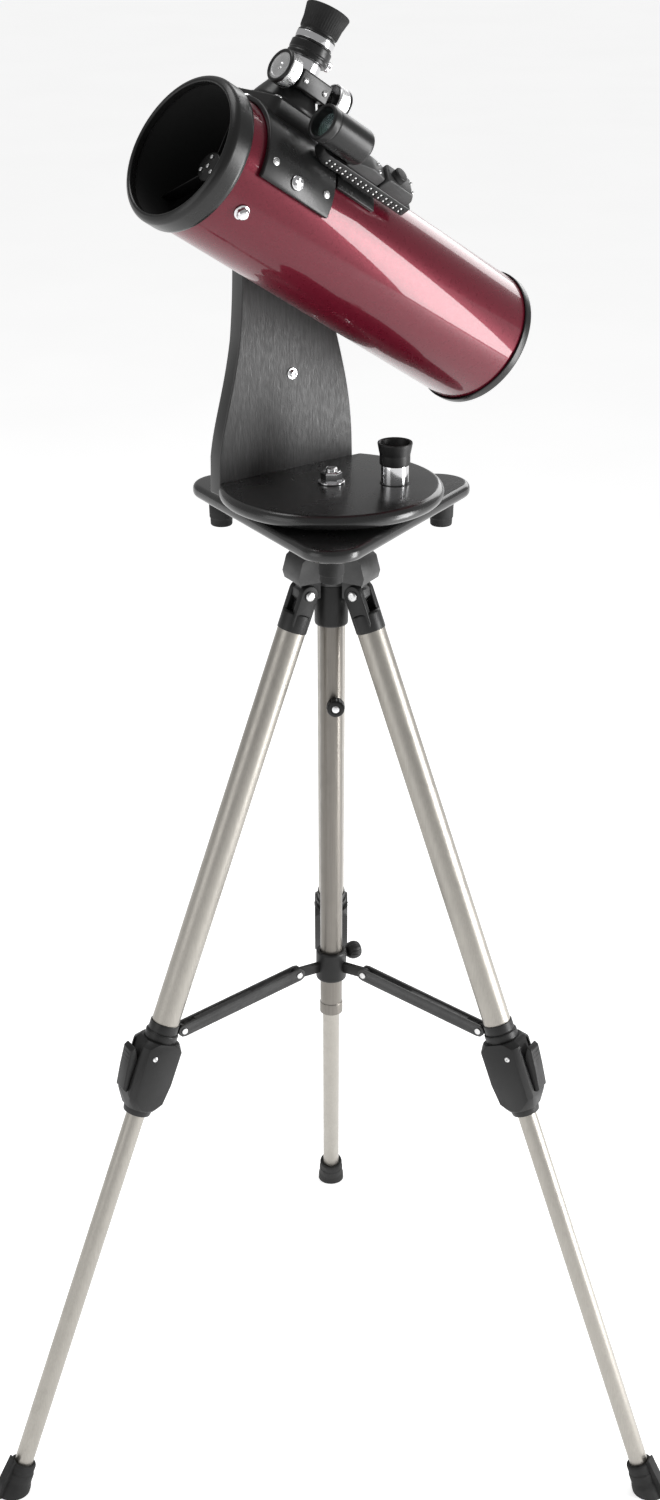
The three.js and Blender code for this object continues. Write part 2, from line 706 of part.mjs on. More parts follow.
function tripodFoot(i) {
  const end = -LEG_LENGTH;
  const boot = turned(
    [[0, end - 12], [FOOT_RADIUS, end - 12], [13, end + 14], [12, end + 34], [0, end + 34]],
    20,
  );
  const fin = profileXZ([[8, end - 6], [17, end - 6], [19, end + 10], [14, end + 40], [8, end + 30]], 10);
  const socket = rod(LOWER_RADIUS + GAP, end + 15.7, end + 60, 14);
  const floor = box(160, 120, 60).translate(FOOT_CIRCLE - HINGE_RADIUS, 0, -30 - HINGE_HEIGHT);
  floor.rotateY(LEG_ANGLE);
  return piece("tripod_foot_" + i, cut(join(boot, fin), socket, floor), softBlack);
}

// Spreader: arms pivot on the legs, with their inner ends astride the hub's tabs.
const CHEEK = 2.4;

function bracketPoint() {
  const point = new THREE.Vector3(-BRACKET_OFFSET, 0, -BRACKET_STATION);
  point.applyAxisAngle(new THREE.Vector3(0, 1, 0), -LEG_ANGLE);
  return { radius: HINGE_RADIUS + point.x, height: HINGE_HEIGHT + point.z };
}

function spreaderArm(i) {
  const outer = bracketPoint();
  const inner = { radius: HUB_PIN_RADIUS, height: HUB_PIN_HEIGHT };
  const ends = [inner.radius, inner.height, outer.radius, outer.height];
  const bar = link(...ends, ARM_HEIGHT / 2, ARM_WIDTH, 5);
  const inside = link(...ends, ARM_HEIGHT, ARM_WIDTH - 2 * CHEEK, 5);
  const length = Math.hypot(ends[2] - ends[0], ends[3] - ends[1]);
  const webStart = 50;
  const webEnd = length - 15;
  const tilt = Math.atan2(ends[3] - ends[1], ends[2] - ends[0]);
  const web = box(webEnd - webStart, ARM_WIDTH - 2 * CHEEK + 0.4, 3);
  web.translate((webStart + webEnd) / 2, 0, 3).rotateY(-tilt).translate(ends[0], 0, ends[1]);
  const pinHole = alongY(rod(2.1, -20, 20, 8)).translate(ends[2], 0, ends[3]);
  const hubHole = alongY(rod(2.1, -20, 20, 8)).translate(ends[0], 0, ends[1]);
  return piece("spreader_arm_" + i, cut(join(cut(bar, inside), web), pinHole, hubHole), greyCasting);
}

const KNOB_TURN = THREE.MathUtils.degToRad(28);

function spreaderHub() {
  const z = HUB_PIN_HEIGHT;
  const sleeve = rod(14.6, z - 14, z + 16, 16);
  const tabs = LEG_AZIMUTHS.map((degrees) => {
    const tab = link(12, z, HUB_PIN_RADIUS, z, 5, 4.6);
    return tab.rotateZ(THREE.MathUtils.degToRad(degrees));
  });
  const bore = rod(GUIDE_RADIUS + GAP, z - 40, z + 40, 16);
  const screwHole = alongX(rod(2.6, 0, 30, 8)).rotateZ(KNOB_TURN).translate(0, 0, z + 9);
  return piece("spreader_hub", cut(join(sleeve, ...tabs), bore, screwHole), blackPlastic);
}

function spreaderKnob() {
  const profile = [[0, 11], [2.3, 11], [2.3, 16.5], [5, 16.5], [8, 20], [9, 25], [7.5, 30], [0, 32]];
  const knob = alongX(turned(profile, 14)).rotateZ(KNOB_TURN).translate(0, 0, HUB_PIN_HEIGHT + 9);
  return piece("spreader_knob", knob, softBlack);
}

function tripod() {
  const group = new THREE.Group();
  group.add(tripodCrown(), guideTube(), columnKnob(), crownLever(), centreColumn());
  group.add(spreaderHub(), spreaderKnob());
  LEG_AZIMUTHS.forEach((degrees, k) => {
    const i = k + 1;
    const spoke = new THREE.Group();
    spoke.rotation.z = THREE.MathUtils.degToRad(degrees);
    const leg = new THREE.Group();
    leg.position.set(HINGE_RADIUS, 0, HINGE_HEIGHT);
    leg.rotation.y = -LEG_ANGLE;
    leg.add(upperLeg(i), legLock(i), lockLever(i), lowerLeg(i), tripodFoot(i));
    spoke.add(leg, spreaderArm(i));
    group.add(spoke);
  });
  return group;
}

const telescope = new THREE.Group();
telescope.add(tripod(), turntable(), groundBoard(), ...azimuthBearing(), ...baseFeet());
telescope.position.y = -FOOTPRINT_MIDDLE;

export default telescope;
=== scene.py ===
import json
import math

import bmesh
import bpy
from mathutils import Matrix, Vector


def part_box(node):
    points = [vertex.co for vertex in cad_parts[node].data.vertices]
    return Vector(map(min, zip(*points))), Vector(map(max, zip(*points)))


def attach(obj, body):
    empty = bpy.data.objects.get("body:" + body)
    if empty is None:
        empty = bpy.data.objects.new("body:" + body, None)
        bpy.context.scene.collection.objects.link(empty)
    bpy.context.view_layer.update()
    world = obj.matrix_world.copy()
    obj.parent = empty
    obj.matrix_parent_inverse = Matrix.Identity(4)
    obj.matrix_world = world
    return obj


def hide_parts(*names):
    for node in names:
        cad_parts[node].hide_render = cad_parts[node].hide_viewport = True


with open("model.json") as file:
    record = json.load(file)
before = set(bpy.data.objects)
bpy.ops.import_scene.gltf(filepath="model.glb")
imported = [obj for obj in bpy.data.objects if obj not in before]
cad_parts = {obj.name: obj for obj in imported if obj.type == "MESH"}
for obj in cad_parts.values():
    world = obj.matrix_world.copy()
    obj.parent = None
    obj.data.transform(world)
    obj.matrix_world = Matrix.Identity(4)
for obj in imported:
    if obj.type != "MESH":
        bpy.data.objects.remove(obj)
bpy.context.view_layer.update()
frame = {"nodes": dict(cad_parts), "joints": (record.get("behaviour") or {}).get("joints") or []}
MM = 0.001
JOINTS = {j["name"]: j for j in frame["joints"]}
SIDES = (1, 2, 3)


# ---- places, read from the frame
def middle(node):
    low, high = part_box(node)
    return (low + high) / 2


def place(origin, x_axis, z_axis):
    """A frame in millimetres at origin, with its Z along z_axis and its X towards x_axis."""
    z = Vector(z_axis).normalized()
    x = Vector(x_axis)
    x = (x - z * x.dot(z)).normalized()
    m = Matrix((x, z.cross(x), z)).transposed().to_4x4()
    m.translation = Vector(origin)
    return m @ Matrix.Scale(MM, 4)


def turn(m, degrees, axis="Z"):
    return m @ Matrix.Rotation(math.radians(degrees), 4, axis)


def shift(m, x, y, z):
    return m @ Matrix.Translation((x, y, z))


ALONG = (middle("front_ring") - middle("rear_ring")).normalized()
SIDE = -Vector(JOINTS["altitude_tilt"]["axis"])
UP = ALONG.cross(SIDE)
PIVOT = Vector(JOINTS["altitude_tilt"]["pos_m"])
TUBE = place(PIVOT, ALONG, UP)  # X to the open end, Y away from the arm, Z up
TUBE_AXIS = place(PIVOT, UP, ALONG)  # Z along the tube
PLATE = place(JOINTS["azimuth_turn"]["pos_m"], (SIDE.y, -SIDE.x, 0), (0, 0, 1))
COLUMN = place((middle("guide_tube").x, middle("guide_tube").y, 0), (1, 0, 0), (0, 0, 1))


def extent(node, direction=ALONG, origin=PIVOT):
    """The least and greatest distance of a node's points along a direction, in millimetres."""
    along = [(v.co - origin).dot(direction) / MM for v in frame["nodes"][node].data.vertices]
    return min(along), max(along)


def height(node):
    """The height of a node's top above the floor, in millimetres."""
    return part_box(node)[1].z / MM


def leg_frame(i):
    """A leg's own frame: Z up along the leg from its hinge, X outwards."""
    hinge = JOINTS[f"leg_{i}_fold"]
    z = Vector(JOINTS[f"lower_leg_{i}_slide"]["axis"])
    y = Vector(hinge["axis"])
    return place(hinge["pos_m"], y.cross(z), z)


# ---- mesh code
def soften(points, radius, steps=3, closed=False):
    """A polyline with its corners rounded off."""
    out = []
    count = len(points)
    for i, p in enumerate(points):
        if not closed and i in (0, count - 1):
            out.append(Vector(p))
            continue
        a, b, c = Vector(points[i - 1]), Vector(p), Vector(points[(i + 1) % count])
        before, after = a - b, c - b
        if min(before.length, after.length) < 1e-6 or before.angle(after) > math.radians(172):
            out.append(b)
            continue
        reach = min(radius, 0.45 * before.length, 0.45 * after.length)
        start, end = b + before.normalized() * reach, b + after.normalized() * reach
        for k in range(steps + 1):
            t = k / steps
            out.append(start * (1 - t) ** 2 + b * 2 * t * (1 - t) + end * t * t)
    return out


def finish_mesh(name, bm, m, crease=38):
    """Turns a bmesh, made in millimetres, into an object in the row frame."""
    bmesh.ops.remove_doubles(bm, verts=bm.verts, dist=1e-4)
    bmesh.ops.recalc_face_normals(bm, faces=bm.faces)
    bm.transform(m)
    if m.determinant() < 0:
        bmesh.ops.reverse_faces(bm, faces=bm.faces)
    for face in bm.faces:
        face.smooth = True
    limit = math.radians(crease)
    for edge in bm.edges:
        edge.smooth = len(edge.link_faces) != 2 or edge.calc_face_angle(0) < limit
    mesh = bpy.data.meshes.new(name)
    bm.to_mesh(mesh)
    bm.free()
    obj = bpy.data.objects.new(name, mesh)
    bpy.context.scene.collection.objects.link(obj)
    return obj


def turned(name, m, profile, segments=64, closed=False, round_off=0.6, knurl=None, steps=3):
    """A profile of (radius, height) turned about Z. knurl is (count, depth, low, high)."""
    points = soften([(r, z) for r, z in profile], round_off, steps, closed)
    bm = bmesh.new()
    rings = []
    for i in range(segments):
        angle = 2 * math.pi * i / segments
        ring = []
        for p in points:
            r = p[0]
            if knurl and knurl[2] <= p[1] <= knurl[3]:
                r -= knurl[1] * (0.5 - 0.5 * math.cos(knurl[0] * angle))
            ring.append(bm.verts.new((r * math.cos(angle), r * math.sin(angle), p[1])))
        rings.append(ring)
    spans = len(points) if closed else len(points) - 1
    for i in range(segments):
        a, b = rings[i], rings[(i + 1) % segments]
        for k in range(spans):
            n = (k + 1) % len(points)
            bm.faces.new((a[k], b[k], b[n], a[n]))
    bmesh.ops.remove_doubles(bm, verts=bm.verts, dist=1e-4)
    bmesh.ops.dissolve_degenerate(bm, edges=bm.edges, dist=1e-4)
    return finish_mesh(name, bm, m)


def slab(name, m, outline, low, high, bevel=0.8, segments=3, crease=38):
    """An outline in X and Y, extruded along Z, with its edges rounded."""
    bm = bmesh.new()
    face = bm.faces.new([bm.verts.new((x, y, low)) for x, y in outline])
    moved = bmesh.ops.extrude_face_region(bm, geom=[face])["geom"]
    verts = [v for v in moved if isinstance(v, bmesh.types.BMVert)]
    bmesh.ops.translate(bm, verts=verts, vec=(0, 0, high - low))
    bmesh.ops.recalc_face_normals(bm, faces=bm.faces)
    round_edges(bm, bevel, segments)
    return finish_mesh(name, bm, m, crease)


def round_edges(bm, bevel, segments, least=32):
    if bevel <= 0:
        return
    sharp = [e for e in bm.edges if len(e.link_faces) == 2 and e.calc_face_angle(0) > math.radians(least)]
    bmesh.ops.bevel(
        bm, geom=sharp, offset=bevel, segments=segments, profile=0.5, affect="EDGES", clamp_overlap=True
    )


def block(name, m, size, centre=(0, 0, 0), bevel=0.8, segments=3):
    x, y, z = (s / 2 for s in size)
    outline = [(-x, -y), (x, -y), (x, y), (-x, y)]
    return slab(name, shift(m, *centre), outline, -z, z, bevel, segments)


def refined(node, bevel=0.7, segments=2, crease=40):
    """A copy of a CAD node with its flat faces merged and its edges rounded."""
    bm = bmesh.new()
    bm.from_mesh(frame["nodes"][node].data)
    bmesh.ops.remove_doubles(bm, verts=bm.verts, dist=2e-5)
    bm.transform(Matrix.Scale(1 / MM, 4))
    bmesh.ops.dissolve_limit(bm, angle_limit=math.radians(1), verts=bm.verts, edges=bm.edges)
    bmesh.ops.recalc_face_normals(bm, faces=bm.faces)
    round_edges(bm, bevel, segments, 40)
    return finish_mesh(node + "_fine", bm, Matrix.Scale(MM, 4), crease)


def carve(obj, *cutters):
    """Cuts the cutters out of obj and deletes them."""
    for cutter in cutters:
        change = obj.modifiers.new("cut", "BOOLEAN")
        change.operation = "DIFFERENCE"
        change.solver = "EXACT"
        change.object = cutter
    bpy.context.view_layer.update()
    dg = bpy.context.evaluated_depsgraph_get()
    mesh = bpy.data.meshes.new_from_object(obj.evaluated_get(dg))
    obj.modifiers.clear()
    obj.data = mesh
    for cutter in cutters:
        bpy.data.objects.remove(cutter)
    bm = bmesh.new()
    bm.from_mesh(mesh)
    for face in bm.faces:
        face.smooth = True
    for edge in bm.edges:
        edge.smooth = len(edge.link_faces) != 2 or edge.calc_face_angle(0) < math.radians(38)
    bm.to_mesh(mesh)
    bm.free()
    return obj


def plug(name, m, radius, low, high, segments=48):
    """A plain cylinder, for cutting."""
    return turned(name, m, [(0, low), (radius, low), (radius, high), (0, high)], segments, round_off=0)


def add(obj, body, material, slot, *nodes):
    obj.data.materials.clear()
    obj.data.materials.append(material)
    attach(obj, body)
    if nodes:
        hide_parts(*nodes)
    return obj


# ---- materials
class Shader:
    """A Principled material with its node tree, in object coordinates."""

    def __init__(self, name, **sockets):
        self.material = bpy.data.materials.new(name)
        self.material.use_nodes = True
        self.tree = self.material.node_tree
        self.bsdf = self.tree.nodes["Principled BSDF"]
        self.coords = self.tree.nodes.new("ShaderNodeTexCoord")
        for key, value in sockets.items():
            self.bsdf.inputs[key.replace("_", " ")].default_value = value

    def link(self, a, b):
        self.tree.links.new(a, b)

    def scaled(self, scale):
        node = self.tree.nodes.new("ShaderNodeMapping")
        node.inputs["Scale"].default_value = scale
        self.link(self.coords.outputs["Object"], node.inputs["Vector"])
        return node.outputs["Vector"]

    def noise(self, scale, detail=4, stretch=(1, 1, 1), rough=0.55):
        node = self.tree.nodes.new("ShaderNodeTexNoise")
        node.inputs["Scale"].default_value = scale
        node.inputs["Detail"].default_value = detail
        node.inputs["Roughness"].default_value = rough
        self.link(self.scaled(stretch), node.inputs["Vector"])
        return node.outputs["Fac"]

    def cells(self, scale, feature="F1"):
        node = self.tree.nodes.new("ShaderNodeTexVoronoi")
        node.inputs["Scale"].default_value = scale
        node.feature = feature
        self.link(self.scaled((1, 1, 1)), node.inputs["Vector"])
        return node.outputs["Distance"]

    def ramp(self, value, stops):
        node = self.tree.nodes.new("ShaderNodeValToRGB")
        points = node.color_ramp.elements
        while len(points) < len(stops):
            points.new(0.5)
        for point, (at, colour) in zip(points, stops):
            point.position = at
            point.color = (*colour, 1)
        self.link(value, node.inputs["Fac"])
        return node.outputs["Color"]

    def spread(self, value, low, high, start=0.3, end=0.7):
        node = self.tree.nodes.new("ShaderNodeMapRange")
        for key, number in (("From Min", start), ("From Max", end), ("To Min", low), ("To Max", high)):
            node.inputs[key].default_value = number
        self.link(value, node.inputs["Value"])
        return node.outputs["Result"]

    def total(self, a, b, weight=1.0):
        node = self.tree.nodes.new("ShaderNodeMath")
        node.operation = "MULTIPLY_ADD"
        node.inputs[1].default_value = weight
        self.link(b, node.inputs[0])
        self.link(a, node.inputs[2])
        return node.outputs["Value"]

    def colour(self, value, stops):
        self.link(self.ramp(value, stops), self.bsdf.inputs["Base Color"])

    def roughness(self, value, low, high):
        self.link(self.spread(value, low, high), self.bsdf.inputs["Roughness"])

    def bump(self, value, strength, distance):
        node = self.tree.nodes.new("ShaderNodeBump")
        node.inputs["Strength"].default_value = strength
        node.inputs["Distance"].default_value = distance
        self.link(value, node.inputs["Height"])
        self.link(node.outputs["Normal"], self.bsdf.inputs["Normal"])


def grey(v, warm=0.0):
    return (v * (1 + warm), v, v * (1 - warm))


def red_paint():
    s = Shader("red_paint", Metallic=0.3, Specular_IOR_Level=0.12, Coat_Weight=0.65, Coat_Roughness=0.035)
    flakes = s.cells(2600)
    s.colour(
        flakes, [(0.0, (0.17, 0.012, 0.028)), (0.5, (0.12, 0.006, 0.017)), (1.0, (0.08, 0.004, 0.011))]
    )
    s.roughness(s.noise(220, 2), 0.26, 0.32)
    s.bump(s.noise(260, 3), 0.04, 0.00008)
    return s.material


def moulded(name, value, low, high, grain=900, depth=0.25, warm=0.0):
    """Moulded plastic: a fine spark-eroded grain, with slightly uneven sheen."""
    s = Shader(name, Specular_IOR_Level=0.38)
    tone = s.noise(14, 5)
    s.colour(tone, [(0.3, grey(value * 0.8, warm)), (0.7, grey(value * 1.25, warm))])
    s.roughness(s.noise(30, 4), low, high)
    s.bump(s.total(s.noise(grain, 3), s.noise(grain * 0.3, 2), 0.5), depth, 0.00012)
    return s.material


def rubber(name="rubber"):
    s = Shader(name, Specular_IOR_Level=0.35)
    s.colour(s.noise(40, 6), [(0.3, grey(0.010)), (0.7, grey(0.022))])
    s.roughness(s.noise(55, 4), 0.62, 0.85)
    s.bump(s.total(s.cells(900), s.noise(300, 3), 0.6), 0.35, 0.00015)
    return s.material


def vinyl_board():
    """Black vinyl with an open wood grain that runs up the board."""
    s = Shader("vinyl_board", Specular_IOR_Level=0.55)
    fibres = s.noise(60, 6, (7, 7, 0.8), 0.7)
    pores = s.noise(240, 3, (5, 5, 0.5), 0.6)
    s.colour(fibres, [(0.25, grey(0.022)), (0.5, grey(0.040)), (0.8, grey(0.066))])
    s.roughness(pores, 0.36, 0.62)
    s.bump(s.total(fibres, pores, 0.8), 0.55, 0.00035)
    return s.material


def laminate(name="laminate", value=0.013, low=0.2, high=0.32):
    """Black melamine laminate, almost smooth, with the faint orange peel of a pressed sheet."""
    s = Shader(name, Specular_IOR_Level=0.5, Coat_Weight=0.25, Coat_Roughness=0.12)
    s.colour(s.noise(6, 4), [(0.3, grey(value * 0.8)), (0.7, grey(value * 1.3))])
    s.roughness(s.noise(18, 5), low, high)
    s.bump(s.total(s.noise(420, 3), s.noise(70, 2), 0.8), 0.12, 0.0002)
    return s.material


def anodised(name, tone, low=0.28, high=0.42, axis_stretch=(30, 30, 0.6)):
    """Extruded and anodised aluminium tube, with faint die lines along it."""
    s = Shader(name, Metallic=0.85)
    lines = s.noise(40, 4, axis_stretch, 0.6)
    s.colour(lines, [(0.3, tuple(c * 0.90 for c in tone)), (0.7, tuple(c * 1.06 for c in tone))])
    s.roughness(s.noise(70, 4), low, high)
    s.bump(s.total(lines, s.noise(1500, 2), 0.5), 0.06, 0.0001)
    return s.material


def chrome_plate():
    s = Shader("chrome_plate", Metallic=1.0)
    s.colour(s.noise(30, 4), [(0.3, (0.72, 0.72, 0.73)), (0.7, (0.85, 0.85, 0.86))])
    s.roughness(s.noise(45, 4), 0.08, 0.17)
    s.bump(s.noise(800, 2), 0.03, 0.0001)
    return s.material


def spun_metal():
    """A turned aluminium face."""
    s = Shader("spun_metal", Metallic=1.0, Anisotropic=0.5)
    s.colour(s.noise(90, 5), [(0.3, grey(0.62)), (0.7, grey(0.80))])
    s.roughness(s.noise(160, 5), 0.2, 0.34)
    s.bump(s.noise(1400, 2), 0.08, 0.0001)
    return s.material


def casting():
    s = Shader("casting_paint", Specular_IOR_Level=0.5, Metallic=0.15)
    s.colour(s.noise(50, 5), [(0.3, grey(0.035)), (0.7, grey(0.06))])
    s.roughness(s.noise(80, 4), 0.36, 0.52)
    s.bump(s.total(s.noise(700, 4), s.cells(500), 0.4), 0.3, 0.00015)
    return s.material


def mirror_glass():
    s = Shader("mirror_glass", Metallic=1.0)
    s.colour(s.noise(8, 3), [(0.3, (0.88, 0.90, 0.92)), (0.7, (0.92, 0.94, 0.95))])
    s.roughness(s.noise(20, 2), 0.015, 0.03)
    return s.material


def coated_glass():
    """Lens glass with a purple-green coating."""
    s = Shader("coated_glass", Transmission_Weight=0.85, IOR=1.5, Coat_Weight=0.6)
    s.colour(s.noise(12, 2), [(0.3, (0.55, 0.50, 0.75)), (0.7, (0.45, 0.65, 0.60))])
    s.roughness(s.noise(30, 2), 0.01, 0.03)
    return s.material


RED = red_paint()
BLACK = moulded("black_plastic", 0.011, 0.24, 0.36, 800, 0.14)
RING_BLACK = moulded("ring_plastic", 0.010, 0.24, 0.34, 500, 0.08)
SOFT = moulded("soft_black", 0.009, 0.36, 0.52, 700, 0.22)
INSIDE = moulded("tube_lining", 0.006, 0.75, 0.9, 500, 0.4)
RUBBER = rubber()
VINYL = vinyl_board()
LAMINATE = laminate()
EDGE = laminate("edge_band", 0.016, 0.3, 0.42)
CHAMPAGNE = anodised("champagne_tube", (0.40, 0.38, 0.345), 0.34, 0.46)
COLUMN_METAL = anodised("column_tube", (0.22, 0.205, 0.185), 0.3, 0.45)
CHROME = chrome_plate()
SPUN = spun_metal()
CASTING = casting()
MIRROR = mirror_glass()
LENS = coated_glass()


# ---- camera, light and floor
def camera():
    """Eye level with the tube, looking down along the tripod."""
    data = bpy.data.cameras.new("camera")
    data.sensor_width = 36
    data.lens = 55.67
    obj = bpy.data.objects.new("camera", data)
    bpy.context.scene.collection.objects.link(obj)
    column = middle("guide_tube")
    obj.location = (column.x - 0.0012, column.y - 1.9729, 1.586)
    obj.rotation_euler = (math.pi / 2 - 0.4153, 0, 0)
    bpy.context.scene.camera = obj


def softbox(name, location, target, size, energy):
    data = bpy.data.lights.new(name, "AREA")
    data.shape = "RECTANGLE"
    data.size, data.size_y = size
    data.energy = energy
    obj = bpy.data.objects.new(name, data)
    obj.location = location
    aim = Vector(target) - Vector(location)
    obj.rotation_euler = aim.to_track_quat("-Z", "Y").to_euler()
    bpy.context.scene.collection.objects.link(obj)


def studio():
    world = bpy.data.worlds.new("studio")
    world.use_nodes = True
    world.node_tree.nodes["Background"].inputs[0].default_value = (1, 1, 1, 1)
    world.node_tree.nodes["Background"].inputs[1].default_value = 0.36
    bpy.context.scene.world = world
    softbox("key", (1.9, -0.5, 0.78), (0, -0.05, 0.95), (0.62, 1.5), 40)
    softbox("fill", (-2.2, -1.7, 1.5), (0, 0, 0.9), (1.6, 2.2), 14)
    softbox("top", (-0.4, 0.5, 3.4), (0, 0, 1.1), (1.6, 1.2), 22)
    softbox("rim", (1.0, 1.9, 1.9), (0, 0, 1.1), (1.2, 1.6), 16)
    far = 6e4
    floor = slab(
        "floor", Matrix.Scale(MM, 4), [(-far, -far), (far, -far), (far, far), (-far, far)], -20, 0, 0
    )
    s = Shader("floor_paper", Specular_IOR_Level=0.15, Emission_Color=(1, 1, 1, 1), Emission_Strength=0.6)
    s.colour(s.noise(2, 3), [(0.3, (0.86, 0.86, 0.86)), (0.7, (0.9, 0.9, 0.9))])
    s.roughness(s.noise(5, 2), 0.8, 0.9)
    floor.data.materials.append(s.material)
    bpy.context.scene.view_settings.view_transform = "Standard"


camera()
studio()


# ---- optical tube
FRONT = extent("optical_tube")[1] + 2
REAR = extent("optical_tube")[0] - 2
FOCUS_X = sum(extent("drawtube")) / 2
SPIDER_X = sum(extent("spider")) / 2
TUBE_R = 60.0


def optical_tube():
    shell = turned(
        "tube_shell",
        TUBE_AXIS,
        [(58.5, REAR + 2), (TUBE_R, REAR + 2), (TUBE_R, FRONT - 3), (58.5, FRONT - 3)],
        144,
        True,
        0.2,
    )
    hole = shift(TUBE, FOCUS_X, 0, 0)
    carve(shell, plug("hole_a", hole, 17, 30, 90))
    add(shell, "tube", RED, "red_paint", "optical_tube")
    lining = turned(
        "tube_lining",
        TUBE_AXIS,
        [(57.6, REAR + 3), (58.4, REAR + 3), (58.4, FRONT - 6), (57.6, FRONT - 6)],
        144,
        True,
        0.1,
    )
    carve(lining, plug("hole_b", hole, 17, 30, 90))
    add(lining, "tube", INSIDE, "black_plastic")


def end_rings():
    front = [
        (56.3, FRONT - 6),
        (56.3, FRONT + 0.8),
        (58.2, FRONT + 1.8),
        (61.6, FRONT),
        (63.5, FRONT - 3.4),
        (63.6, FRONT - 17),
        (62.6, FRONT - 20),
        (60.15, FRONT - 20),
        (60.15, FRONT - 6),
    ]
    add(
        turned("front_ring_fine", TUBE_AXIS, front, 160, True, 1.6, steps=5),
        "tube", RING_BLACK, "black_plastic", "front_ring",
    )
    rear = [
        (46, REAR + 1.7),
        (46, REAR + 0.3),
        (58.6, REAR),
        (61.6, REAR + 2.6),
        (61.9, REAR + 10),
        (60.15, REAR + 10),
        (60.15, REAR + 1.7),
    ]
    add(
        turned("rear_ring_fine", TUBE_AXIS, rear, 160, True, 1.0, steps=4),
        "tube", RING_BLACK, "black_plastic", "rear_ring",
    )


def mirror_end():
    cell = turned(
        "mirror_cell_fine",
        TUBE_AXIS,
        [
            (0, REAR + 3),
            (56.8, REAR + 3),
            (56.8, REAR + 11),
            (48, REAR + 11),
            (46, REAR + 8),
            (0, REAR + 8),
        ],
        112,
        round_off=1,
    )
    cutters = []
    for k in range(3):
        arc = []
        for r, sweep in ((40, 1), (22, -1)):
            for step in range(9):
                a = math.radians(120 * k + sweep * (step / 8 * 60 - 30))
                arc.append((r * math.cos(a), r * math.sin(a)))
        cutters.append(slab(f"slot_{k}", TUBE_AXIS, arc, REAR - 4, REAR + 20, 0))
    carve(cell, *cutters)
    add(cell, "tube", CASTING, "grey_casting", "mirror_cell")
    mirror = [(0, REAR + 11.6), (50, REAR + 11.6), (50, REAR + 25)]
    mirror += [(r, REAR + 22.6 + 2.4 * (r / 50) ** 2) for r in (49, 40, 30, 20, 10, 0)]
    add(
        turned("primary_mirror_fine", TUBE_AXIS, mirror, 112, round_off=0.4),
        "tube", MIRROR, "mirror_glass", "primary_mirror",
    )
    for k in range(3):
        spot = turn(TUBE_AXIS, 120 * k + 60)
        for name, r, head in (("collimation_screw", 31, 4.4), ("lock_screw", 43, 3.0)):
            pin = shift(spot, r, 0, 0)
            screw = turned(
                f"{name}_{k + 1}",
                pin,
                [(0, REAR + 4), (head, REAR + 4), (head, REAR - 1.2), (head - 1, REAR - 2), (0, REAR - 2)],
                40,
                round_off=0.5,
                knurl=(14, 0.4, REAR - 1.5, REAR + 3.9),
            )
            add(screw, "tube", CHROME, "chrome")


def secondary_cage():
    hub = turned(
        "spider_hub",
        shift(TUBE_AXIS, 0, 0, SPIDER_X),
        [(3.2, -6), (11, -6), (11, 6), (3.2, 6)],
        56,
        True,
        0.8,
    )
    add(hub, "tube", SOFT, "matte_black_metal", "spider")
    for k, degrees in enumerate((-4, 116, 236)):
        arm = turn(shift(TUBE_AXIS, 0, 0, SPIDER_X), -degrees)
        vane = block(f"spider_vane_{k + 1}", arm, (47.6, 1.1, 12), (34.2, 0, 0), 0.3, 2)
        add(vane, "tube", SOFT, "matte_black_metal")
        stud = turn(arm, 90, "Y")
        nut = turned(
            f"spider_nut_{k + 1}",
            stud,
            [(0, 60.2), (6.6, 60.2), (6.6, 61.4), (5.2, 61.8), (5.2, 64.4), (3.6, 66.4), (0, 67)],
            48,
            round_off=0.7,
            knurl=(6, 0.35, 61.9, 65),
        )
        add(nut, "tube", CHROME, "chrome")
    holder = turned(
        "secondary_holder_fine",
        TUBE_AXIS,
        [(0, FOCUS_X - 16), (12.5, FOCUS_X - 16), (12.5, SPIDER_X - 6.3), (0, SPIDER_X - 6.3)],
        64,
        round_off=0.8,
    )
    tilt = turn(shift(TUBE, FOCUS_X, 0, 0), -45, "Y")
    carve(holder, block("opening", tilt, (90, 90, 60), (0, 0, 24.7), 0))
    add(holder, "tube", BLACK, "black_plastic", "secondary_holder")
    oval = [
        (17.3 * math.cos(math.radians(a)), 12.4 * math.sin(math.radians(a))) for a in range(0, 360, 6)
    ]
    add(
        slab("secondary_mirror_fine", tilt, oval, -5, 0, 0.4),
        "tube",
        MIRROR,
        "mirror_glass",
        "secondary_mirror",
    )
    cap = turned(
        "secondary_cap",
        shift(TUBE_AXIS, 0, 0, SPIDER_X + 6.2),
        [(0, -0.1), (12.5, -0.1), (13, 1.2), (12.2, 3), (0, 3.4)],
        56,
        round_off=0.8,
    )
    add(cap, "tube", BLACK, "black_plastic")
    for k in range(4):
        r = 8 if k else 0
        spot = shift(turn(TUBE_AXIS, 120 * k), r, 0, SPIDER_X + 9.2)
        screw = turned(
            f"secondary_screw_{k + 1}", spot, [(0, 0), (1.9, 0), (1.9, 1.6), (0, 2)], 24, round_off=0.5
        )
        add(screw, "tube", SPUN, "chrome")


optical_tube()
end_rings()
mirror_end()
secondary_cage()


# ---- focuser and eyepiece
FOCUS = shift(TUBE, FOCUS_X, 0, 0)  # Z out of the tube, X to the open end
PAD_TOP = 71
PINION_Y = 20.5
PINION_Z = 94


def arc(radius, start, stop, steps):
    """Points on a circle from start to stop, in degrees."""
    angles = [math.radians(start + (stop - start) * k / steps) for k in range(steps + 1)]
    return [(radius * math.cos(a), radius * math.sin(a)) for a in angles]


def saddle(name, station, inner, outer, start, stop, length, bevel=0.8):
    """A plate curved round the tube, from one angle to another, measured from the top."""
    outline = arc(outer, -start, -stop, 48) + arc(inner, -stop, -start, 48)
    return slab(name, shift(TUBE_AXIS, 0, 0, station), outline, -length / 2, length / 2, bevel)


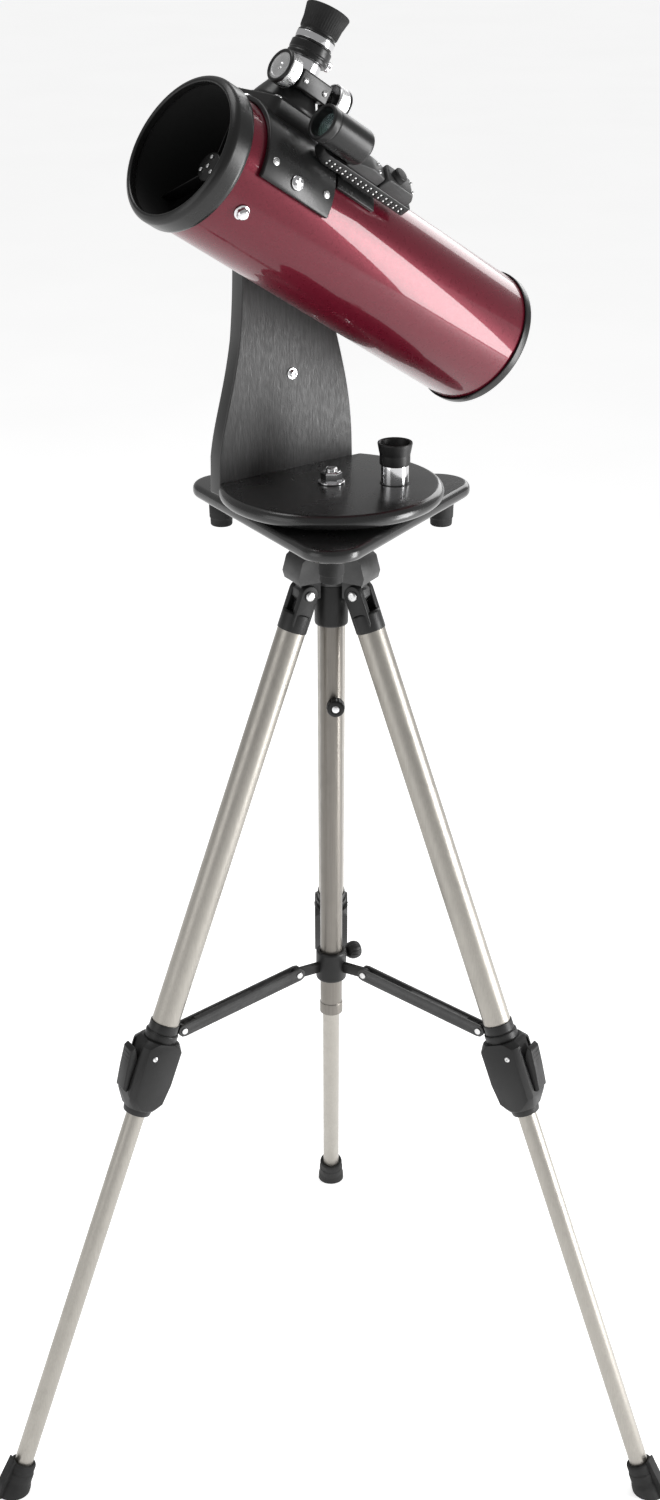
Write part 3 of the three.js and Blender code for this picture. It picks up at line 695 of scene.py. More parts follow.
def cap_screw(name, m, radius, tall, body, material=None):
    """A round-headed screw with a cross recess, standing on m's XY plane."""
    head = turned(
        name, m, [(0, -0.6), (radius, -0.6), (radius, tall * 0.55), (0, tall)], 40, round_off=radius * 0.45
    )
    slots = [
        block(
            f"{name}_slot_{k}", turn(m, 90 * k), (radius * 1.1, radius * 0.28, 2), (0, 0, tall), 0
        ) for k in (0, 1)
    ]
    carve(head, *slots)
    return add(head, body, material or CHROME, "chrome")


def focuser_base():
    plate = saddle("focuser_saddle", FOCUS_X, 60.3, 64.8, -44, 87, 76, 1.2)
    pad = slab(
        "focuser_pad",
        FOCUS,
        soften([(-33, -31), (33, -31), (33, 31), (-33, 31)], 7, 6, True),
        50,
        PAD_TOP,
        1.4,
        4,
    )
    carve(
        pad,
        plug("pad_tube", shift(TUBE_AXIS, 0, 0, FOCUS_X), 60.4, -60, 60, 128),
        plug("pad_bore", FOCUS, 17, 20, 90),
    )
    carve(plate, plug("plate_bore", FOCUS, 17, 20, 90))
    add(plate, "tube", BLACK, "black_plastic", "focuser_base")
    add(pad, "tube", BLACK, "black_plastic")
    rim = turned("focuser_rim", FOCUS, [(28.5, 70.8), (31, 70.8), (31, 72), (28.5, 72.4)], 96, True, 0.4)
    add(rim, "tube", BLACK, "black_plastic")
    for k, (x, y) in enumerate(((27, 25), (-27, 25), (-27, -25), (27, -25))):
        cap_screw(f"pad_screw_{k + 1}", shift(FOCUS, x, y, PAD_TOP), 3.2, 2, "tube", SPUN)
    for name, x, degrees, radius in (
        ("saddle_screw", 3, 77, 6.2), ("saddle_pin", 29, 72, 3.4), ("saddle_pin_2", -29, 72, 3.4)
    ):
        spot = turn(turn(shift(TUBE_AXIS, 0, 0, FOCUS_X + x), -degrees), 90, "Y")
        cap_screw(
            name, shift(spot, 0, 0, 64.8), radius, radius * 0.55, "tube", CHROME if radius > 5 else SPUN
        )


def focuser_housing():
    low = PAD_TOP + 0.3
    profile = [
        (14.5, low),
        (28, low),
        (28, low + 3),
        (26, low + 7),
        (21, low + 16),
        (18.6, 101),
        (18.6, 104),
        (14.5, 104),
    ]
    add(
        turned("focuser_barrel", FOCUS, profile, 96, True, 1.8, steps=5),
        "tube", BLACK, "black_plastic", "focuser_housing",
    )
    gearbox = block("focuser_gearbox", FOCUS, (34, 18, 16), (0, PINION_Y - 2, PINION_Z), 1.6, 4)
    carve(gearbox, plug("gearbox_bore", FOCUS, 14.6, 60, 120), plug(
        "gearbox_shaft", turn(shift(FOCUS, 0, PINION_Y, PINION_Z), 90, "Y"), 3.4, -30, 30
    ))
    add(gearbox, "tube", BLACK, "black_plastic")
    for k, x in enumerate((-11, 11)):
        spot = turn(shift(FOCUS, x, PINION_Y + 7, PINION_Z), -90, "X")
        cap_screw(f"gearbox_screw_{k + 1}", spot, 2.6, 1.8, "tube", SPUN)


def drawtube():
    tube = turned("drawtube_fine", FOCUS, [(12.6, 52), (14, 52), (14, 126), (12.6, 126)], 96, True, 0.4)
    add(tube, "drawtube", CHROME, "chrome", "drawtube")
    collar = turned(
        "drawtube_collar",
        FOCUS,
        [
            (14, 114),
            (17.4, 114),
            (17.4, 117),
            (16.8, 117.6),
            (16.8, 118.8),
            (17.4, 119.4),
            (17.4, 126),
            (12.7, 126),
            (12.7, 120),
        ],
        96,
        True,
        0.7,
    )
    add(collar, "drawtube", BLACK, "chrome")
    teeth = []
    for k in range(35):
        z = 57 + k * 1.6
        teeth += [(14.0, z), (15.3, z + 0.4), (15.3, z + 0.8), (14.4, z + 1.2)]
    outline = [(13.6, 56), *teeth, (14.2, 113), (13.6, 113)]
    rack = slab("focus_rack", turn(turn(FOCUS, 90), 90, "X"), [(y, z) for y, z in outline], -2.4, 2.4, 0)
    add(rack, "drawtube", SPUN, "chrome")
    screw = turn(shift(FOCUS, 0, 0, 120), -90, "Y")
    profile = [(0, 13), (2, 13), (2, 18.6), (3.6, 18.6), (4.4, 19.6), (4.4, 23), (3.4, 24), (0, 24)]
    head = turned("eyepiece_screw_fine", screw, profile, 96, round_off=0.5, knurl=(24, 0.35, 19.5, 23.1))
    add(head, "eyepiece_screw", CHROME, "chrome", "eyepiece_screw")


def pinion():
    axle = turn(shift(FOCUS, 0, PINION_Y, PINION_Z), 90, "Y")
    shaft = [(0, -32), (3, -32), (3, -5.2), (4.4, -5), (4.4, 5), (3, 5.2), (3, 32), (0, 32)]
    gear = turned("pinion_shaft_fine", axle, shaft, 120, round_off=0.3, knurl=(12, 0.9, -4.9, 4.9))
    add(gear, "pinion", SPUN, "chrome", "pinion_shaft")
    for side, name in ((1, "front"), (-1, "rear")):
        m = turn(axle, 0 if side > 0 else 180, "X")
        flank = [(12.6, 22.2), (14.1, 23.2), (14.1, 33), (13.2, 34), (3.4, 34), (3.4, 22.2)]
        knob = turned(f"focus_knob_{name}_fine", m, flank, 180, True, 0.6, knurl=(60, 0.3, 23.3, 32.9))
        add(knob, "pinion", SPUN, "chrome", f"focus_knob_{name}")
        inner = turned(
            f"focus_knob_{name}_hub",
            m,
            [(3.3, 21.9), (12.4, 21.9), (12.4, 22.6), (3.3, 22.6)],
            96,
            True,
            0.3,
        )
        add(inner, "pinion", BLACK, "chrome")
        rim = turned(
            f"focus_knob_{name}_rim",
            m,
            [(11.4, 33.6), (14.25, 33.6), (14.25, 35.2), (13.2, 36), (11.4, 36)],
            120,
            True,
            0.5,
        )
        add(rim, "pinion", BLACK, "chrome")
        face = [
            (0, 33.8),
            (11.5, 33.8),
            (11.5, 35.2),
            (9.8, 35.4),
            (8.6, 34.9),
            (3, 34.7),
            (2.2, 35.6),
            (0, 35.7),
        ]
        disc = turned(f"focus_knob_{name}_disc", m, face, 96, round_off=0.4)
        add(disc, "pinion", SPUN, "chrome")


def eyepiece():
    barrel = turned(
        "eyepiece_barrel_fine",
        FOCUS,
        [(10.8, 104), (12.25, 104), (12.25, 126.3), (10.8, 126.3)],
        80,
        True,
        0.3,
    )
    add(barrel, "eyepiece", CHROME, "chrome", "eyepiece_barrel")
    z = 126.6
    body = [(9, z), (15.9, z), (16.3, z + 8.4), (15.2, z + 9.4), (15.6, z + 11), (9, z + 11)]
    low = turned("eyepiece_body_fine", FOCUS, body, 112, True, 0.5)
    add(low, "eyepiece", BLACK, "soft_black", "eyepiece_body")
    band = turned(
        "eyepiece_band",
        FOCUS,
        [(15.7, z + 1.6), (16.35, z + 1.6), (16.5, z + 7), (15.7, z + 7)],
        96,
        True,
        0.3,
    )
    add(band, "eyepiece", CHROME, "chrome")
    cup = [
        (9, z + 10.6),
        (15.6, z + 10.6),
        (16.4, z + 12),
        (17, z + 20),
        (19, z + 30),
        (18.4, z + 31),
        (16.4, z + 30.6),
        (13, z + 22),
        (9.2, z + 20),
    ]
    eyecup = turned("eyepiece_cup", FOCUS, cup, 192, True, 1.0, knurl=(48, 0.45, z + 12.5, z + 21))
    add(eyecup, "eyepiece", RUBBER, "soft_black")
    lens = turned(
        "eyepiece_lens",
        FOCUS,
        [(0, z + 15), (9.1, z + 15), (9.1, z + 17.6), (0, z + 18.8)],
        64,
        round_off=0.3,
    )
    add(lens, "eyepiece", LENS, "soft_black")


# ---- reflex finder
FINDER = turn(shift(TUBE, FRONT - 104, 0, 0), -45, "X")
RAIL_LOW = 66.3
RAIL_TOP = 76.8
HOOD_Z = 92.6
RAIL_TEETH = 30


def finder():
    foot = saddle("finder_foot", FRONT - 104 - 33, 60.3, 63.6, 45 - 15.5, 45 + 15.5, 44, 0.8)
    add(foot, "tube", BLACK, "black_plastic", "finder_bracket")
    post = slab(
        "finder_post", FINDER, soften(
            [(-53, -6), (-13, -6), (-13, 6), (-53, 6)], 4, 4, True
        ), 60.4, 66, 0.6, 2
    )
    add(post, "tube", BLACK, "black_plastic")
    outline = soften([(-85, -9.4), (14, -9.4), (19, -5), (19, 5), (14, 9.4), (-85, 9.4)], 3, 4, True)
    rail = slab("finder_rail", FINDER, outline, RAIL_LOW, RAIL_TOP, 1.1, 3)
    add(rail, "tube", BLACK, "black_plastic", "finder_body")
    for side in (-1, 1):
        for level in (RAIL_LOW + 3.2, RAIL_LOW + 6.6):
            for k in range(RAIL_TEETH):
                bump = block(
                    f"rail_tooth_{side + 2}_{int(level)}_{k + 1}",
                    FINDER,
                    (1.7, 1.2, 1.5),
                    (-80 + k * 3.1, side * 9.5, level),
                    0.25,
                    1,
                )
                add(bump, "tube", SPUN if k % 2 else BLACK, "black_plastic")
    tail = slab(
        "finder_tail",
        turn(FINDER, 90, "X"),
        soften([(-79, RAIL_TOP - 1), (-79, 83), (-74, 89.2), (-45, 89.2), (-45, RAIL_TOP - 1)], 2.4, 4),
        -9,
        9,
        1.2,
        3,
    )
    add(tail, "tube", CASTING, "black_plastic")
    cradle = slab(
        "finder_cradle",
        turn(FINDER, 90, "X"),
        soften([(-44, RAIL_TOP - 1), (-44, 86), (-28, 88), (-10, 84), (-6, RAIL_TOP - 1)], 2.4, 4),
        -7.5,
        7.5,
        1.2,
        3,
    )
    add(cradle, "tube", CASTING, "black_plastic")
    hood_axis = turn(shift(FINDER, 0, 0, HOOD_Z), 90, "Y")
    hood = turned(
        "finder_hood_fine",
        hood_axis,
        [
            (12, -8),
            (15, -8),
            (15.5, -6),
            (15.5, 30),
            (15.2, 31),
            (15.5, 32),
            (15.5, 37),
            (15, 38),
            (12.6, 38),
            (12, 36),
        ],
        112,
        True,
        0.6,
    )
    add(hood, "tube", BLACK, "black_plastic", "finder_hood")
    window = turned(
        "finder_window", hood_axis, [(0, 28), (12.1, 28), (12.1, 29.4), (0, 30.4)], 72, round_off=0.2
    )
    add(window, "tube", LENS, "black_plastic")
    knob = turned(
        "finder_knob_fine",
        shift(FINDER, -56, 0, 0),
        [(0, 89.6), (6.4, 89.6), (6.4, 94), (5.6, 94.8), (0, 94.8)],
        120,
        round_off=0.5,
        knurl=(30, 0.35, 90, 93.8),
    )
    add(knob, "finder_knob", SOFT, "soft_black", "finder_knob")
    for k, (x, y) in enumerate(((-74, 5), (-74, -5), (-36, 4.5), (-36, -4.5))):
        cap_screw(
            f"finder_screw_{k + 1}", shift(FINDER, x, y, 88.6 if x < -50 else 87), 1.7, 1.4, "tube", SPUN
        )


# ---- altitude bearing
ALTITUDE_AXIS = place(PIVOT, UP, -SIDE)  # Z towards the arm and out through it
ARM_NEAR = 76.0
ARM_FAR = 92.0


def altitude_bearing():
    bar = refined("dovetail_bar", 1.0, 3)
    add(bar, "tube", BLACK, "black_plastic", "dovetail_bar")
    hub = [(0, 67.5), (24.4, 67.5), (25, 68.2), (25, 74.8), (24.4, 75.4), (6, 75.4), (6, 106), (0, 106)]
    add(
        turned("altitude_hub_fine", ALTITUDE_AXIS, hub, 96, round_off=0.6),
        "tube",
        BLACK,
        "black_plastic",
        "altitude_hub",
    )
    for k, x in enumerate((-52, 52)):
        for y in (-9, 9):
            spot = turn(shift(TUBE, x, -67.2, y), 90, "X")
            cap_screw(f"bar_screw_{k + 1}_{'low' if y < 0 else 'high'}", spot, 3, 1.9, "tube")


def altitude_knob():
    low = ARM_FAR + 0.3
    profile = [
        (6.3, low),
        (17, low),
        (23, low + 5),
        (23, low + 15),
        (20, low + 19),
        (12, low + 19),
        (11, low + 17.6),
        (0, low + 17.6),
        (0, low + 15),
        (6.3, low + 15),
    ]
    knob = turned(
        "altitude_knob_fine", ALTITUDE_AXIS, profile, 192, True, 2.0, knurl=(12, 2.2, low + 3, low + 17)
    )
    add(knob, "altitude_knob", SOFT, "soft_black", "altitude_knob")
    disc = turned(
        "altitude_knob_disc",
        ALTITUDE_AXIS,
        [(0, low + 17.4), (10.4, low + 17.4), (10.4, low + 18.4), (0, low + 18.8)],
        64,
        round_off=0.4,
    )
    add(disc, "altitude_knob", SPUN, "soft_black")


# ---- turntable
PIVOT_X = (PIVOT - PLATE.translation).dot(Vector((SIDE.y, -SIDE.x, 0))) / MM
PLATE_TOP = height("top_plate")
PLATE.translation.z = PLATE_TOP * MM
PIVOT_Z = PIVOT.z / MM - PLATE_TOP
ARM_FACE = ARM_NEAR - (PIVOT - PLATE.translation).dot(SIDE) / MM
THICK = 13
spare = middle("spare_eyepiece_barrel")
RACK = place((spare.x, spare.y, PLATE_TOP * MM), (1, 0, 0), (0, 0, 1))


def bezier(a, b, c, d, steps=16):
    a, b, c, d = (Vector(p) for p in (a, b, c, d))
    out = []
    for k in range(1, steps + 1):
        t = k / steps
        out.append(a * (1 - t) ** 3 + b * 3 * t * (1 - t) ** 2 + c * 3 * t * t * (1 - t) + d * t**3)
    return out


def arm_outline():
    foot = -THICK + 1
    points = [(-68, foot), (80.3, foot), (79.8, 21)]
    points += bezier((79.8, 21), (76, 52), (64, 78), (57, 122))
    points += bezier((57, 122), (54, 150), (53, 175), (52.6, PIVOT_Z))
    points += [(PIVOT_X + x, PIVOT_Z + y) for x, y in arc(46, 2.5, 177.5, 48)]
    points += [(PIVOT_X - 46, PIVOT_Z)]
    points += bezier((PIVOT_X - 46, PIVOT_Z), (-39.4, 175), (-41, 150), (-48, 122))
    points += bezier((-48, 122), (-58, 85), (-65, 60), (-67, 21))
    return [tuple(p) for p in points]


def side_arm():
    upright = turn(PLATE, 90, "X")
    arm = slab("side_arm_fine", upright, arm_outline(), ARM_FACE, ARM_FACE + 16, 1.6, 4, 30)
    carve(arm, plug("arm_bore", ALTITUDE_AXIS, 6.3, 60, 110))
    add(arm, "turntable", VINYL, "textured_board", "side_arm")
    arm.data.materials.append(EDGE)
    for face in arm.data.polygons:
        face.material_index = 0 if abs(face.normal.dot(SIDE)) > 0.9 else 1
    bolt = shift(turn(shift(PLATE, 0.7, 0, 86.9), -90, "X"), 0, 0, -ARM_FACE)
    washer = turned("stop_washer", bolt, [(0, -0.1), (5.2, -0.1), (5.2, 0.9), (0, 0.9)], 64, round_off=0.3)
    add(washer, "turntable", SPUN, "chrome")
    profile = [(0, 0.8), (3.4, 0.8), (3.4, 3.2), (2.8, 3.9), (1.7, 3.9), (1.7, 2.8), (0, 2.8)]
    head = turned("stop_bolt", bolt, profile, 48, round_off=0.3)
    add(head, "turntable", CHROME, "chrome")
    for k, x in enumerate((-46, 0, 46)):
        spot = shift(turn(shift(PLATE, x, 0, -5.5), 90, "X"), 0, 0, ARM_FACE + 16)
        cap_screw(f"arm_screw_{k + 1}", spot, 4, 1.4, "turntable", CHROME)


def top_plate():
    r = THICK / 2
    profile = [(0, -THICK)]
    profile += [(100 - r + x, -r + y) for x, y in arc(r, -90, 90, 14)]
    profile += [(0, 0)]
    plate = turned("top_plate_fine", PLATE, profile, 192, round_off=0)
    chord = block("chord", PLATE, (240, 60, 60), (0, -ARM_FACE + 0.3 - 30, 0), 0)
    carve(plate, chord, plug("plate_bore", PLATE, 5.4, -40, 40), plug("rack_bore", RACK, 12.8, -40, 40))
    add(plate, "turntable", LAMINATE, "black_laminate", "top_plate")
    sleeve = turned(
        "rack_sleeve", RACK, [(12.45, -THICK), (12.8, -THICK), (13.4, 0.5), (12.45, 0.5)], 80, True, 0.2
    )
    add(sleeve, "turntable", SOFT, "black_laminate")


def spare_eyepiece():
    barrel = turned(
        "spare_barrel_fine", RACK, [(10.8, -11), (12.3, -11), (12.3, 17), (10.8, 17)], 96, True, 0.4
    )
    add(barrel, "spare_eyepiece", CHROME, "chrome", "spare_eyepiece_barrel")
    z = 17.3
    profile = [
        (9, z),
        (13.6, z),
        (13.6, z + 9),
        (14.2, z + 11.5),
        (15.6, z + 19),
        (15.3, z + 20),
        (13.2, z + 19.6),
        (12, z + 13),
        (9, z + 13),
    ]
    cap = turned("spare_cap_fine", RACK, profile, 192, True, 0.8, knurl=(40, 0.35, z + 1.4, z + 8))
    add(cap, "spare_eyepiece", SOFT, "soft_black", "spare_eyepiece_cap")
    lens = turned(
        "spare_lens", RACK, [(0, z + 9), (9.1, z + 9), (9.1, z + 11), (0, z + 12)], 64, round_off=0.3
    )
    add(lens, "spare_eyepiece", LENS, "soft_black")


# ---- ground board
BOARD_TOP = height("ground_board")
BOARD_Y = 2.5
CORNERS = (-90, 30, 150)


def board_outline(inset):
    points = []
    for corner in CORNERS:
        cx, cy = 111 * math.cos(math.radians(corner)), 111 * math.sin(math.radians(corner))
        points += [(cx + x, cy + y + BOARD_Y) for x, y in arc(30 - inset, corner - 60, corner + 60, 28)]
    return points


def lofted(name, m, rings, crease=38):
    """A closed skin through rings of points, capped at both ends."""
    bm = bmesh.new()
    loops = [[bm.verts.new(p) for p in ring] for ring in rings]
    count = len(loops[0])
    for a, b in zip(loops, loops[1:]):
        for i in range(count):
            k = (i + 1) % count
            bm.faces.new((a[i], a[k], b[k], b[i]))
    bm.faces.new(loops[0])
    bm.faces.new(loops[-1])
    return finish_mesh(name, bm, m, crease)


def ground_board():
    rings = []
    for step in range(-8, 9):
        a = math.pi / 2 * step / 8
        z = BOARD_TOP - 6 + (5 * math.sin(a)) + (1 if step > 0 else -1 if step < 0 else 0)
        rings.append([(x, y, z) for x, y in board_outline(5 - 5 * math.cos(a))])
    board = lofted("ground_board_fine", COLUMN, rings)
    carve(board, plug("board_bore", COLUMN, 5.4, BOARD_TOP - 8, BOARD_TOP + 10))
    add(board, "column", LAMINATE, "black_laminate", "ground_board")
    low, high = BOARD_TOP + 0.3, PLATE_TOP - THICK - 0.3
    bearing = turned("bearing_fine", COLUMN, [(60, low), (76, low), (76, high), (60, high)], 144, True, 0.8)
    add(bearing, "column", SOFT, "bearing_plastic", "bearing_ring")
    bolt = turned(
        "azimuth_bolt_fine", COLUMN, [
            (0, BOARD_TOP - 7.7),
            (5, BOARD_TOP - 7.7),
            (5, PLATE_TOP + 13),
            (4, PLATE_TOP + 14),
            (0, PLATE_TOP + 14),
        ], 48, round_off=0.4
    )
    add(bolt, "column", CHROME, "chrome", "azimuth_bolt")
    for k in range(4):
        z = PLATE_TOP + 11.4 + 0.7 * k
        thread = turned(
            f"bolt_thread_{k + 1}", COLUMN, [(4.6, z), (5.2, z + 0.2), (4.6, z + 0.4)], 40, True, 0
        )
        add(thread, "column", SPUN, "chrome")
    for k, corner in enumerate(CORNERS):
        m = base_foot_place(k)
        top = BOARD_TOP - 12.3
        profile = [
            (0, top - 27),
            (9.2, top - 27),
            (10, top - 26),
            (10.2, top - 20),
            (10.9, top - 19.4),
            (11.4, top),
            (0, top),
        ]
        add(
            turned(f"base_foot_{k + 1}_fine", m, profile, 80, round_off=0.7),
            "column",
            RUBBER,
            "rubber",
            f"base_foot_{k + 1}",
        )


def base_foot_place(k):
    spot = middle(f"base_foot_{k + 1}")
    return Matrix.Translation((spot.x, spot.y, 0)) @ Matrix.Scale(MM, 4)


def azimuth_nut():
    z = PLATE_TOP
    hexagon = turned(
        "azimuth_nut_fine",
        COLUMN,
        [(5.3, z + 2.2), (9.6, z + 2.2), (9.6, z + 9.4), (8.2, z + 10.8), (5.3, z + 10.8)],
        6,
        True,
        0.4,
    )
    washer = turned(
        "azimuth_flange",
        COLUMN,
        [(5.3, z + 0.3), (12, z + 0.3), (12, z + 2), (5.3, z + 2.4)],
        72,
        True,
        0.4,
    )
    add(hexagon, "azimuth_nut", CHROME, "chrome", "azimuth_nut")
    add(washer, "azimuth_nut", CHROME, "chrome")


# ---- tripod head and column
def tripod_head():
    add(refined("tripod_crown", 1.3, 3, 44), "crown", CASTING, "grey_casting", "tripod_crown")
    guide = turned(
        "guide_tube_fine", COLUMN, [(8.8, 440), (10.5, 440), (10.5, 924), (8.8, 924)], 80, True, 0.4
    )
    add(guide, "crown", COLUMN_METAL, "column_metal", "guide_tube")
    sleeve = turned(
        "crown_sleeve", COLUMN, [(10.8, 843.5), (15.3, 843.5), (15.3, 882), (10.8, 882)], 80, True, 0.9
    )
    add(sleeve, "crown", SOFT, "grey_casting")
    end = turned(
        "guide_end", COLUMN, [(8.9, 438), (11, 438), (11, 449), (10.6, 450), (8.9, 450)], 80, True, 0.7
    )
    add(end, "crown", COLUMN_METAL, "column_metal")
    stud = turn(shift(COLUMN, 4, 0, 766), 90, "X")
    profile = [
        (0, 8.7),
        (2.3, 8.7),
        (2.3, 11.3),
        (7.6, 11.3),
        (8.4, 12.8),
        (8.4, 20.6),
        (7, 22.4),
        (4.4, 22.8),
        (4, 21.6),
        (0, 21.6),
    ]
    knob = turned("column_knob_fine", stud, profile, 144, round_off=0.8, knurl=(16, 0.8, 12.4, 21))
    add(knob, "column_knob", SOFT, "soft_black", "column_knob")
    centre = turned(
        "column_knob_stud", stud, [(0, 21.4), (3.6, 21.4), (3.6, 22.6), (0, 23.4)], 40, round_off=0.6
    )
    add(centre, "column_knob", CHROME, "soft_black")


def crown_lever():
    m = turn(turn(shift(COLUMN, 0, 0, 917), 150), 90, "Y")
    stem = turned(
        "crown_lever_fine",
        m,
        [(0, 19.6), (3, 19.6), (3, 26), (6, 26), (6.4, 27), (6.4, 33), (5.4, 34), (0, 34)],
        64,
        round_off=0.6,
    )
    add(stem, "crown_lever", SOFT, "soft_black", "crown_lever")
    outline = soften([(3, -3.4), (3, 3.4), (-12, 3), (-19, 4), (-19, -4), (-12, -3)], 2, 4, True)
    grip = slab("crown_lever_grip", m, outline, 27, 33, 1.4, 3)
    add(grip, "crown_lever", SOFT, "soft_black")


def centre_column():
    top = BOARD_TOP - 12.3
    profile = [(0, 460), (8.4, 460), (8.4, 931), (25, 934.6), (26, 935.8), (26, top), (0, top)]
    column = turned("centre_column_fine", COLUMN, profile, 80, round_off=0.6)
    add(column, "column", COLUMN_METAL, "column_metal", "centre_column")


# ---- legs
LEG_END = 937.08  # from the hinge to the floor, along the leg
BRACKET = -432  # where the spreader arm's bracket is, along the leg


def upper_leg(i, m):
    body = f"leg_{i}"
    tube = turned(f"upper_tube_{i}", m, [(11.2, -479), (13, -479), (13, -31), (11.2, -31)], 88, True, 0.3)
    add(tube, body, CHAMPAGNE, "champagne_aluminium", f"upper_leg_{i}")
    socket = turned(
        f"yoke_socket_{i}",
        m,
        [(0, -36), (13.7, -36), (13.7, -19.6), (12.2, -18), (0, -18)],
        80,
        round_off=0.9,
    )
    add(socket, body, SOFT, "champagne_aluminium")
    for side in (-1, 1):
        cheek = turn(shift(m, 0, side * 8.9, 0), 90, "X")
        outline = arc(9, 0, 180, 24) + arc(9, 180, 360, 24)
        outline = [(x, y if k <= 24 else y - 26) for k, (x, y) in enumerate(outline)]
        plate = slab(f"yoke_{i}_{side + 2}", cheek, outline, -3, 3, 0.9, 3)
        add(plate, body, SOFT, "champagne_aluminium")
        bolt = turned(
            f"hinge_bolt_{i}_{side + 2}",
            turn(shift(m, 0, side * 11.8, 0), -90 * side, "X"),
            [(0, 0), (4.6, 0), (4.6, 1.6), (3, 2.6), (0, 2.6)],
            48,
            round_off=0.6,
        )
        add(bolt, body, SPUN, "champagne_aluminium")
    clamp = turned(
        f"bracket_band_{i}", shift(m, 0, 0, BRACKET), [(13, -6), (14, -6), (14, 6), (13, 6)], 88, True, 0.4
    )
    add(clamp, body, SOFT, "champagne_aluminium")
    tab = slab(
        f"bracket_tab_{i}",
        turn(shift(m, 0, 0, BRACKET), 90, "X"),
        [(-12.5, 5), *arc_at(-20.5, 0, 5, 90, 270, 16), (-12.5, -5)],
        -2.2,
        2.2,
        0.5,
        2,
    )
    add(tab, body, SOFT, "champagne_aluminium")
    pin = turned(
        f"bracket_pin_{i}",
        turn(shift(m, -20.5, 0, BRACKET), 90, "X"),
        [(0, -6.6), (3, -6.6), (3, -5.7), (1.8, -5.6), (1.8, 5.6), (3, 5.7), (3, 6.6), (0, 6.6)],
        40,
        round_off=0.3,
    )
    add(pin, body, SPUN, "champagne_aluminium")


def arc_at(cx, cy, radius, start, stop, steps):
    """Points on a circle that isn't centred on the origin."""
    return [(cx + x, cy + y) for x, y in arc(radius, start, stop, steps)]


def leg_lock(i, m):
    lock = refined(f"leg_lock_{i}", 1.4, 3, 44)
    add(lock, f"leg_{i}", SOFT, "soft_black", f"leg_lock_{i}")
    collar = turned(
        f"lock_collar_{i}",
        m,
        [(13.2, -444), (15.6, -444), (15.6, -436), (14.6, -435), (13.2, -435)],
        88,
        True,
        0.6,
    )
    add(collar, f"leg_{i}", SOFT, "soft_black")
    neck = turned(f"lock_neck_{i}", m, [(9.4, -520), (13, -520), (14.4, -512), (9.4, -512)], 80, True, 0.7)
    add(neck, f"leg_{i}", SOFT, "soft_black")
    for side in (-1, 1):
        cap_screw(
            f"lock_screw_{i}_{side + 2}",
            turn(shift(m, 9, side * 16.9, -458), -90 * side, "X"),
            2.6,
            1.4,
            f"leg_{i}",
            SPUN,
        )
    lever = refined(f"lock_lever_{i}", 1.0, 3, 44)
    add(lever, f"lock_lever_{i}", SOFT, "soft_black", f"lock_lever_{i}")
    body = f"lock_lever_{i}"
    for k in range(4):
        rib = block(
            f"lever_rib_{i}_{k + 1}",
            shift(m, 31.0 - 0.5 * k, 0, -456 - 4 * k),
            (1.4, 12, 1.4),
            (0, 0, 0),
            0.4,
            2,
        )
        add(rib, body, SOFT, "soft_black")


def lower_leg(i, m):
    body = f"lower_leg_{i}"
    tube = turned(f"lower_tube_{i}", m, [(7.6, -921), (9, -921), (9, -390), (7.6, -390)], 80, True, 0.3)
    add(tube, body, CHAMPAGNE, "champagne_aluminium", f"lower_leg_{i}")
    z = -LEG_END
    profile = [
        (9.3, z + 34),
        (12, z + 34),
        (12.8, z + 32),
        (12.6, z + 24),
        (13.4, z + 23),
        (13.2, z + 14),
        (14.4, z + 9),
        (15, z - 12),
        (0, z - 12),
        (0, z + 15.7),
        (9.3, z + 15.7),
    ]
    boot = turned(f"tripod_foot_{i}_fine", m, profile, 96, True, 0.9)
    fin = slab(
        f"foot_fin_{i}",
        turn(m, 90, "X"),
        soften([(9, z - 8), (16.6, z - 8), (18.6, z + 10), (14, z + 39), (11, z + 36)], 2, 4, True),
        -5,
        5,
        1.4,
        3,
    )
    for part in (boot, fin):
        carve(part, under_floor(f"floor_cut_{i}"))
    add(boot, body, RUBBER, "rubber", f"tripod_foot_{i}")
    add(fin, body, RUBBER, "rubber")


def under_floor(name):
    return slab(name, Matrix.Scale(MM, 4), [(-900, -900), (900, -900), (900, 900), (-900, 900)], -80, 0, 0)


# ---- spreader
HUB_Z = 490


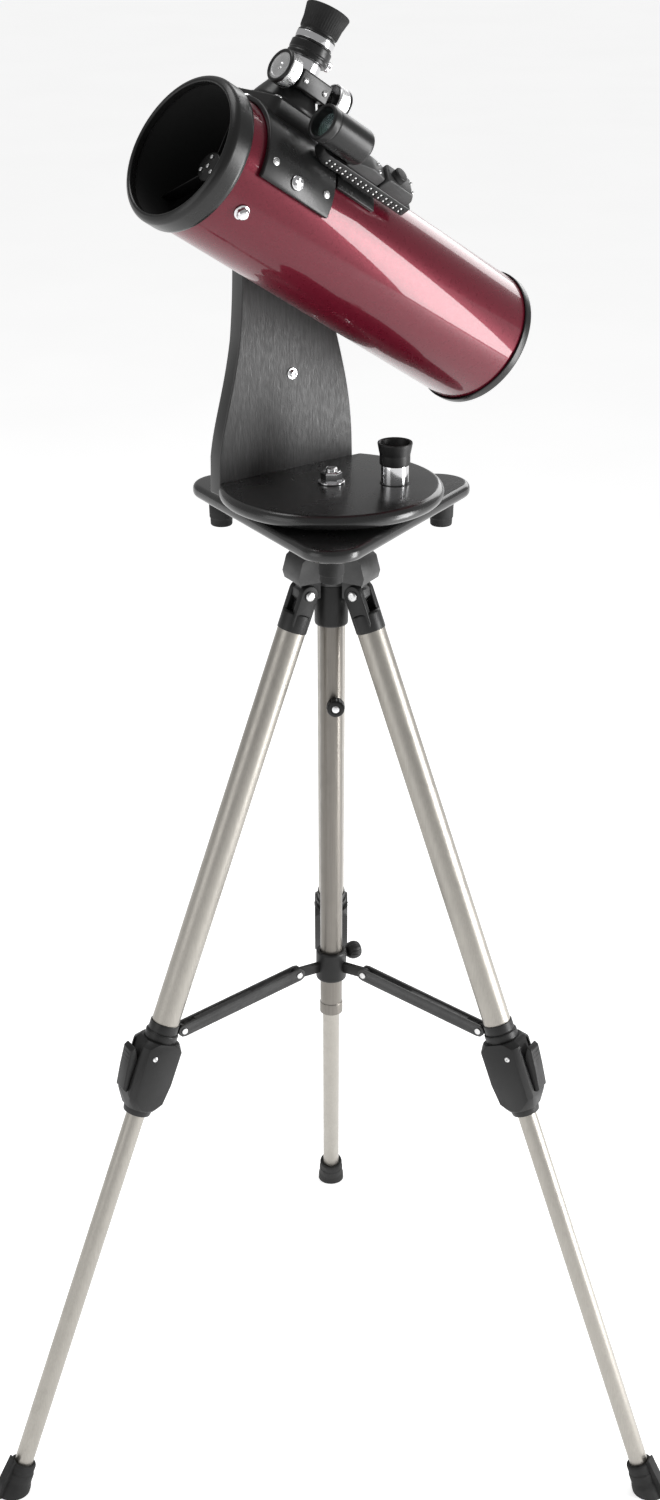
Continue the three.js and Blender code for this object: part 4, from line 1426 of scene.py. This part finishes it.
def spreader_arm(i):
    arm = refined(f"spreader_arm_{i}", 0.5, 2, 44)
    add(arm, f"spreader_arm_{i}", CASTING, "matte_black_metal", f"spreader_arm_{i}")


def spreader_hub():
    sleeve = turned(
        "spreader_sleeve",
        COLUMN,
        [
            (10.8, HUB_Z - 14),
            (14, HUB_Z - 14),
            (14.6, HUB_Z - 12),
            (14.6, HUB_Z + 14),
            (14, HUB_Z + 16),
            (10.8, HUB_Z + 16),
        ],
        96,
        True,
        0.7,
    )
    add(sleeve, "spreader_hub", SOFT, "black_plastic", "spreader_hub")
    for i in SIDES:
        hinge = Vector(JOINTS[f"leg_{i}_fold"]["pos_m"]) - COLUMN.translation
        spoke = place(COLUMN.translation, (hinge.x, hinge.y, 0), (0, 0, 1))
        side = turn(shift(spoke, 0, 0, HUB_Z), 90, "X")
        tab = slab(
            f"hub_tab_{i}", side, [(13, 5), (13, -5), *arc_at(38, 0, 5, -90, 90, 20)], -2.3, 2.3, 0.5, 2
        )
        add(tab, "spreader_hub", SOFT, "black_plastic")
        pin = turned(
            f"hub_pin_{i}",
            shift(side, 38, 0, 0),
            [(0, -6.4), (3, -6.4), (3, -5.6), (1.7, -5.5), (1.7, 5.5), (3, 5.6), (3, 6.4), (0, 6.4)],
            40,
            round_off=0.3,
        )
        add(pin, "spreader_hub", SPUN, "chrome")
    knob_axis = turn(turn(shift(COLUMN, 0, 0, HUB_Z + 9), 28), 90, "Y")
    profile = [(0, 11), (2.3, 11), (2.3, 16.5), (5, 16.5), (8, 20), (9, 25), (7.5, 30), (0, 32)]
    knob = turned(
        "spreader_knob_fine", knob_axis, profile, 120, round_off=2.4, steps=6, knurl=(14, 0.5, 19, 29)
    )
    add(knob, "spreader_knob", SOFT, "soft_black", "spreader_knob")


focuser_base()
focuser_housing()
drawtube()
pinion()
eyepiece()
finder()
altitude_bearing()
altitude_knob()
side_arm()
top_plate()
spare_eyepiece()
ground_board()
azimuth_nut()
tripod_head()
crown_lever()
centre_column()
spreader_hub()
for number in SIDES:
    leg = leg_frame(number)
    upper_leg(number, leg)
    leg_lock(number, leg)
    lower_leg(number, leg)
    spreader_arm(number)
